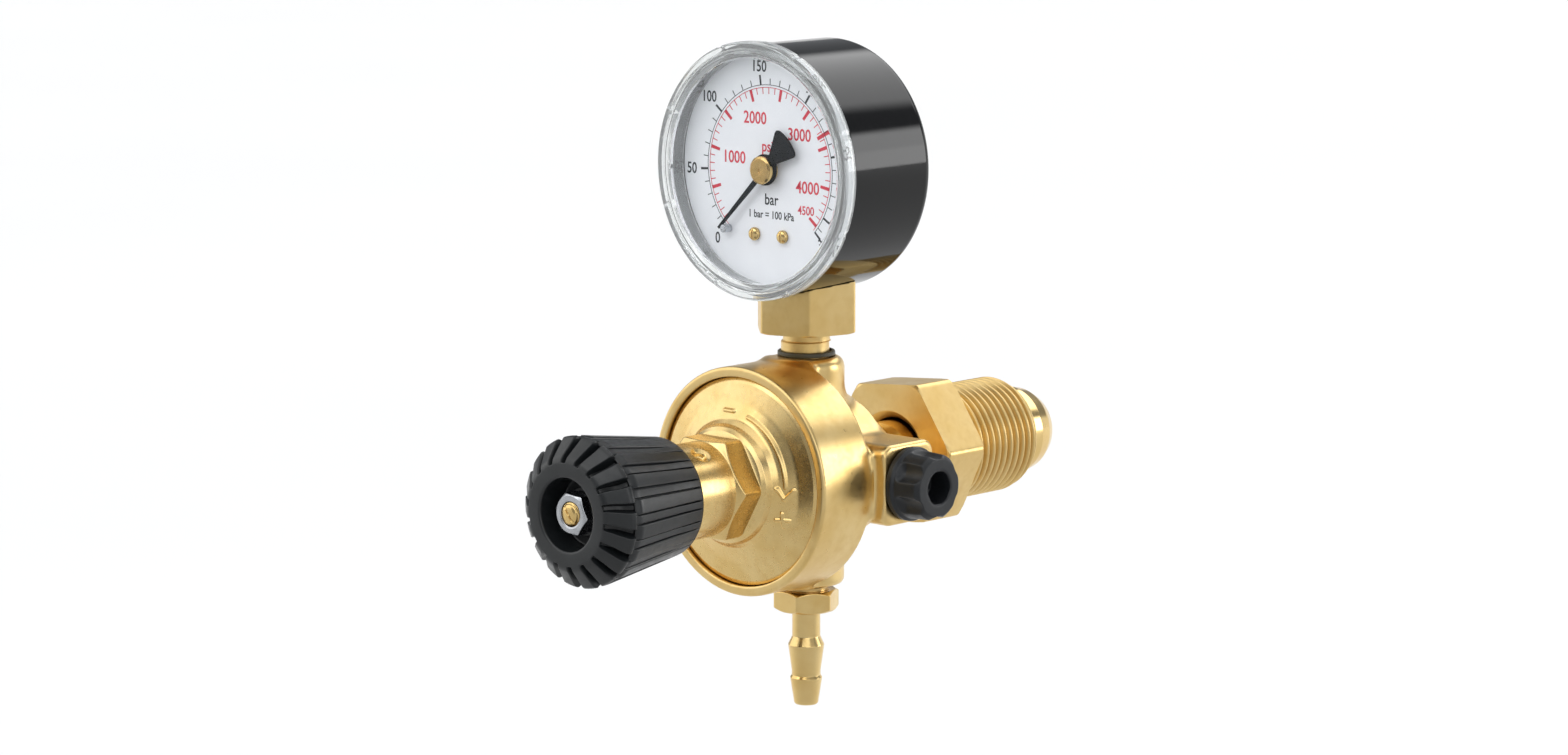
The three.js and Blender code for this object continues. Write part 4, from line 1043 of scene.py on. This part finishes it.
def make_dial():
    low, high = DIAL_Y - 0.03, DIAL_Y + 0.005
    card = soften([(1.3, DIAL_Y, 0.05), (22.25, DIAL_Y, 0.1), (22.25, 9.7, 0.1), (1.3, 9.7, 0.05)])
    made = turned("dial_card", card, 160, at=gauge_at)
    screws = [(x, 0, DIAL_SCREW_Z) for x in (-SCREW_X, SCREW_X)]
    holes = [plug_cutter("dial_hole", 0.9, 8.5, 10.5, 24, "y", place) for place in screws]
    finished(cut(made, *holes), "dial", dial_white)

    bar_r, psi_r, line = 15.85, 15.35, 0.12
    ends = scale_angle(FULL_SCALE_BAR), scale_angle(0)
    black = [sector(bar_r, bar_r + line, *ends, low, high, 120)]
    for bar in (*range(0, 311, 10), FULL_SCALE_BAR):
        bold = bar % 50 == 0 or bar == FULL_SCALE_BAR
        length, width = (1.95, 0.42) if bold else (1.25, 0.16)
        black.append(mark(bar_r, bar_r + length, scale_angle(bar), width, low, high))
        if bold and bar != 300:
            number_r = {50: 20.2, 100: 20.1, 150: 19.4}.get(bar, 19.5)
            x, z = polar(number_r, scale_angle(bar))
            black.append(lettering(str(bar), 2.1, x, z, low, high, 0.86))
    black.append(lettering("bar", 2.1, 0.5, -5.8, low, high, 0.88))
    black.append(lettering("1 bar = 100 kPa", 1.45, 0.4, -8.7, low, high, 0.88))

    red = [sector(psi_r, psi_r + line, *ends, low, high, 120)]
    for psi in range(100, 4501, 100):
        length, width = (2.2, 0.62) if psi % 500 == 0 else (1.15, 0.17)
        angle = scale_angle(psi / PSI_PER_BAR)
        red.append(mark(psi_r - length, psi_r + 0.1, angle, width, low, high))
    for psi, x, z in ((1000, -9.1, 1.6), (2000, -3.7, 9.4), (3000, 7.6, 6.9), (4000, 9.7, -2.9)):
        red.append(lettering(str(psi), 2.3, x, z, low, high, 0.9))
    red.append(lettering("4500", 1.65, 9.3, -7.2, low, high, 0.88))
    red.append(lettering("psi", 2.1, -0.5, 4.2, low, high, 0.9))
    red.append(mark(psi_r - 1.5, bar_r + 1.5, scale_angle(RED_LINE_BAR), 0.75, low, high))
    for name, parts, material in (
        ("dial_print_black", black, print_black), ("dial_print_red", red, print_red),
    ):
        printed = gathered(name, parts)
        printed.data.materials.append(material)
        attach(printed, "root")

    for k, place in enumerate(screws):
        lathed(f"dial_screw_{k + 1}", "head", [
            (0, 8.0), (0.45, 8.02), (0.8, 8.1), (1.1, 8.3), (1.25, 8.55), (1.25, 9.05),
            (0.6, 9.1), (0.6, 14), (0, 14),
        ], 96, small_brass, at=place, corner=0,
            shape=slotted(-0.3, 0.16, 2, 8.6, cross=False), finer=((0.07, lambda r, a: a < 8.6),))
    pin = [(0, 7.2), (0.8, 7.2, 0.25), (0.8, 9.0, 0.1), (0, 9.0)]
    pin_at = (-10.36, 0, GAUGE_Z - 11.94)
    lathed("stop_pin", "turned", pin, 32, zinc, at=pin_at)


def plate(name, outline, low, high, bevel):
    """A flat piece with softly broken edges, from an outline in the dial's plane."""
    curve = bpy.data.curves.new(name, "CURVE")
    curve.dimensions = "2D"
    curve.fill_mode = "BOTH"
    curve.extrude = (high - low) / 2 - bevel
    curve.bevel_depth = bevel
    curve.bevel_resolution = 2
    curve.offset = -bevel
    for ring in outline:
        spline = curve.splines.new("POLY")
        spline.points.add(len(ring) - 1)
        for point, (x, z) in zip(spline.points, ring):
            point.co = (x, z, 0, 1)
        spline.use_cyclic_u = True
    return new_object(name, *from_curve(curve, (low + high) / 2))


def make_pointer():
    def at(radius, angle):
        return polar(radius, POINTER_ANGLE + angle)

    def bow(radius, start, end, count):
        return [at(radius, a) for a in np.linspace(start, end, count)]

    needle = [at(16.9, -0.8), at(16.9, 0.8), at(3.2, 9)]
    tail = [at(3.3, 159), at(7.8, 156), at(8.3, 157.5), *bow(8.5, 161, 199, 12)]
    tail += [at(8.3, 202.5), at(7.8, 204), at(3.3, 201)]
    outline = needle + bow(2.95, 16, 150, 20) + tail + bow(2.95, 210, 344, 20) + [at(3.2, 351)]
    hole = [polar(1.75, a) for a in range(0, 360, 12)]
    made = plate("pointer_plate", [outline, hole], 7.5, 8, 0.06)
    made.data.shade_flat()
    finished(made, "pointer", pointer_black, weighted=False)
    lathed("pointer_hub", "turned", [
        (0, 6.35), (0.3, 6.35, 0.05), (0.34, 6.2, 0.04), (2.2, 6.2, 0.15), (2.65, 6.5, 0.1),
        (2.65, 7.2, 0.1), (1.5, 7.2, 0.1), (1.5, 8.2, 0.05), (2.5, 8.25, 0.05), (2.5, 8.7, 0.05),
        (0.85, 8.7, 0.05), (0.85, 7.2, 0.05), (0, 7.2),
    ], 96, small_brass, at=gauge_at)


# ---- springs and inner pieces


def coil(name, mean_radius, wire, low, high, turns, axis, at):
    """A closed-end coil spring with round wire."""
    steps, sides = turns * 32, 12
    share = np.linspace(0, 1, steps + 1)
    angle = TAU * turns * share
    ends = 0.8 / turns
    slope = np.where((share < ends) | (share > 1 - ends), 0.35, 1.0)
    travel = np.concatenate([[0], np.cumsum((slope[1:] + slope[:-1]) / 2)])
    along = low + wire + (high - low - 2 * wire) * travel / travel[-1]
    turn = TAU * np.arange(sides) / sides
    radius = mean_radius + wire * np.cos(turn)
    y = along[:, None] + wire * np.sin(turn)
    x, z = np.outer(np.sin(angle), radius), np.outer(np.cos(angle), radius)
    points = np.stack([x, y, z], axis=-1).reshape(-1, 3)
    faces = [tuple(range(sides)), tuple(steps * sides + k for k in reversed(range(sides)))]
    for step in range(steps):
        for side in range(sides):
            after = (side + 1) % sides
            a, b = step * sides, (step + 1) * sides
            faces.append((a + side, b + side, b + after, a + after))
    if axis == "x":
        points = points[:, [1, 0, 2]] * (1, -1, 1)
    return new_object(name, *outward(points + at, faces))


def make_springs():
    for node, joint, axis, (mean_radius, wire, low, high), at in (
        ("adjusting_spring", "spring_button_slide", "y", (5.7, 1, -13.9, 3.7), (0, 0, 0)),
        ("valve_spring", "valve_lift", "y", (2.4, 0.3, 19.2, 24.2), (0, 0, 0)),
        ("relief_spring", "relief_lift", "x", (2.5, 0.3, 17.5, 22.6), (0, RELIEF_Y, 0)),
    ):
        made = coil(f"{node}_coil", mean_radius, wire, low, high, 5, axis, at)
        finished(made, node, steel, weighted=False)
        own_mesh(made)


def make_diaphragm():
    """The rubber diaphragm with its rolled wave."""
    front, back = 5.8, 7
    profile = soften([
        (2.3, front, 0.1), (12.2, front, 0.6), (14.1, front + 0.8, 0.8), (16, front, 0.6),
        (19.6, front, 0.1), (19.6, back, 0.1), (16, back, 0.6), (14.1, back + 0.8, 0.8),
        (12.2, back, 0.6), (2.3, back, 0.1),
    ])
    made = turned("diaphragm_rubber", profile, 120)
    finished(made, "diaphragm", rubber, weighted=False)
    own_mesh(made)


def dress_inner_nodes():
    """Procedural finishes for the CAD nodes that stay as they are."""
    finishes = {
        "turned_brass": small_brass, "zinc_plate": zinc, "spring_steel": steel, "nylon": nylon,
        "black_rubber": rubber, "bronze": bronze,
    }
    for node, made in frame["nodes"].items():
        if made.hide_render:
            continue
        made.data.materials.clear()
        made.data.materials.append(finishes[SLOT_OF[node]])


for make in (
    make_body, make_bonnet, make_knob, make_knob_nut, make_adjusting_screw, make_nipple, make_nut,
    make_hose_barb, make_relief_cap, make_gauge_socket, make_gasket, make_case, make_window,
    make_case_back, make_dial, make_pointer, make_springs, make_diaphragm, dress_inner_nodes,
):
    make()

# ---- floor, lights and camera

FLOOR_REACH, FLOOR_DROP = 9, 0.11
CAMERA_TARGET = (0, (RIM_Y + 12.79) * MM, 18.47 * MM)
CAMERA_AZIMUTH, CAMERA_ELEVATION, CAMERA_DISTANCE = 42.691, 9.048, 0.87464
CAMERA_LENS, CAMERA_SENSOR = 105.62, 36


def make_floor():
    """Pale paper with painted shade: darkest in front of the object, lighter under it and white
    behind it.
    """
    mesh = bpy.data.meshes.new("floor")
    reach, level = FLOOR_REACH, cad_low.z - FLOOR_DROP
    corners = [(reach * x, reach * y, level) for x, y in ((-1, -1), (1, -1), (1, 1), (-1, 1))]
    mesh.from_pydata(corners, [], [(0, 1, 2, 3)])
    floor = bpy.data.objects.new("floor", mesh)
    bpy.context.scene.collection.objects.link(floor)
    paper = Shader("floor_paper", (0.9, 0.9, 0.9), 0.8)
    white = paper.blend(paper.noise(400, 2), (0.90, 0.90, 0.90), (0.93, 0.93, 0.93))
    # Painted shadow: the paper blends from grey in front of and under the object to white behind
    # it.
    behind = (-0.68, 0.733, 0)
    away = paper.node("ShaderNodeVectorMath", paper.coordinates, behind, operation="DOT_PRODUCT")
    painted_light_share = paper.spread(away.outputs["Value"], -0.3, 0.34, 0.0, 1.0, "SMOOTHSTEP")
    paper.colour = paper.blend(painted_light_share, (0.52, 0.52, 0.52), white)
    mesh.materials.append(paper.done())


def make_camera():
    camera = bpy.data.cameras.new("camera")
    camera.lens, camera.sensor_width = CAMERA_LENS, CAMERA_SENSOR
    camera.clip_start, camera.clip_end = 0.05, 60
    made = bpy.data.objects.new("camera", camera)
    bpy.context.scene.collection.objects.link(made)
    turn, rise = math.radians(CAMERA_AZIMUTH), math.radians(CAMERA_ELEVATION)
    across = math.cos(rise)
    back = Vector((math.sin(turn) * across, -math.cos(turn) * across, math.sin(rise)))
    made.location = Vector(CAMERA_TARGET) + back * CAMERA_DISTANCE
    made.rotation_euler = back.to_track_quat("Z", "Y").to_euler()
    bpy.context.scene.camera = made


# Soft lamps in the studio: direction, half width and half height as tangents, brightness, colour.
# The last one is the dark side of the room, behind the camera.
LAMPS = [
    ((0.05, 0.1, 0.99), (0.75, 0.6), 0.9, (1.0, 0.99, 0.97)),
    ((-0.02, 0.78, 0.62), (0.42, 0.2), 2.3, (1.0, 1.0, 1.0)),
    ((0.68, 0.72, 0.16), (0.2, 0.2), 4.0, (1.0, 1.0, 1.0)),
    ((0, 1, 0.08), (1.3, 0.14), 0.65, (1.0, 0.99, 0.97)),
    ((-0.85, -0.5, 0.35), (0.6, 0.6), 1.2, (1.0, 0.99, 0.97)),
    ((0, -0.7, 0.75), (0.5, 0.25), 1.7, (1.0, 1.0, 1.0)),
    ((0.97, -0.1, 0.2), (0.35, 0.3), 0.9, (1.0, 1.0, 1.0)),
    ((0.75, -0.55, 0.4), (0.28, 0.3), 1.3, (1.0, 1.0, 1.0)),
    ((0, -0.99, 0.12), (0.38, 0.4), -0.22, (1.0, 1.0, 1.0)),
]
ROOM = (0.26, 0.27, 0.285)


def make_world():
    """A pale grey room with soft lamps, drawn on the sky so that they light the floor evenly."""
    world = bpy.data.worlds.new("studio")
    bpy.context.scene.world = world
    world.use_nodes = True
    sky = Nodes(world.node_tree)
    towards = sky.node("ShaderNodeTexCoord").outputs["Generated"]

    def share(axis):
        made = sky.node("ShaderNodeVectorMath", towards, axis, operation="DOT_PRODUCT")
        return made.outputs["Value"]

    light = None
    for direction, reach, brightness, colour in LAMPS:
        centre = Vector(direction).normalized()
        side = Vector((0, 0, 1)).cross(centre).normalized()
        ahead = share(centre)
        mask = sky.math("GREATER_THAN", ahead, 0.0)
        for axis, half in zip((side, centre.cross(side)), reach):
            aside = sky.math("ABSOLUTE", sky.math("DIVIDE", share(axis), ahead))
            edge = sky.spread(aside, 0.8 * half, 1.2 * half, 1.0, 0.0, "SMOOTHSTEP")
            mask = sky.math("MULTIPLY", mask, edge)
        glow = sky.blend(mask, (0, 0, 0), tuple(brightness * c for c in colour))
        light = sky.blend(1, light, glow, "ADD") if light else glow
    light = sky.blend(1, ROOM, light, "ADD")
    sky.feed(world.node_tree.nodes["Background"].inputs["Color"], light)


make_floor()
make_world()
make_camera()
bpy.context.scene.view_settings.view_transform = "Standard"
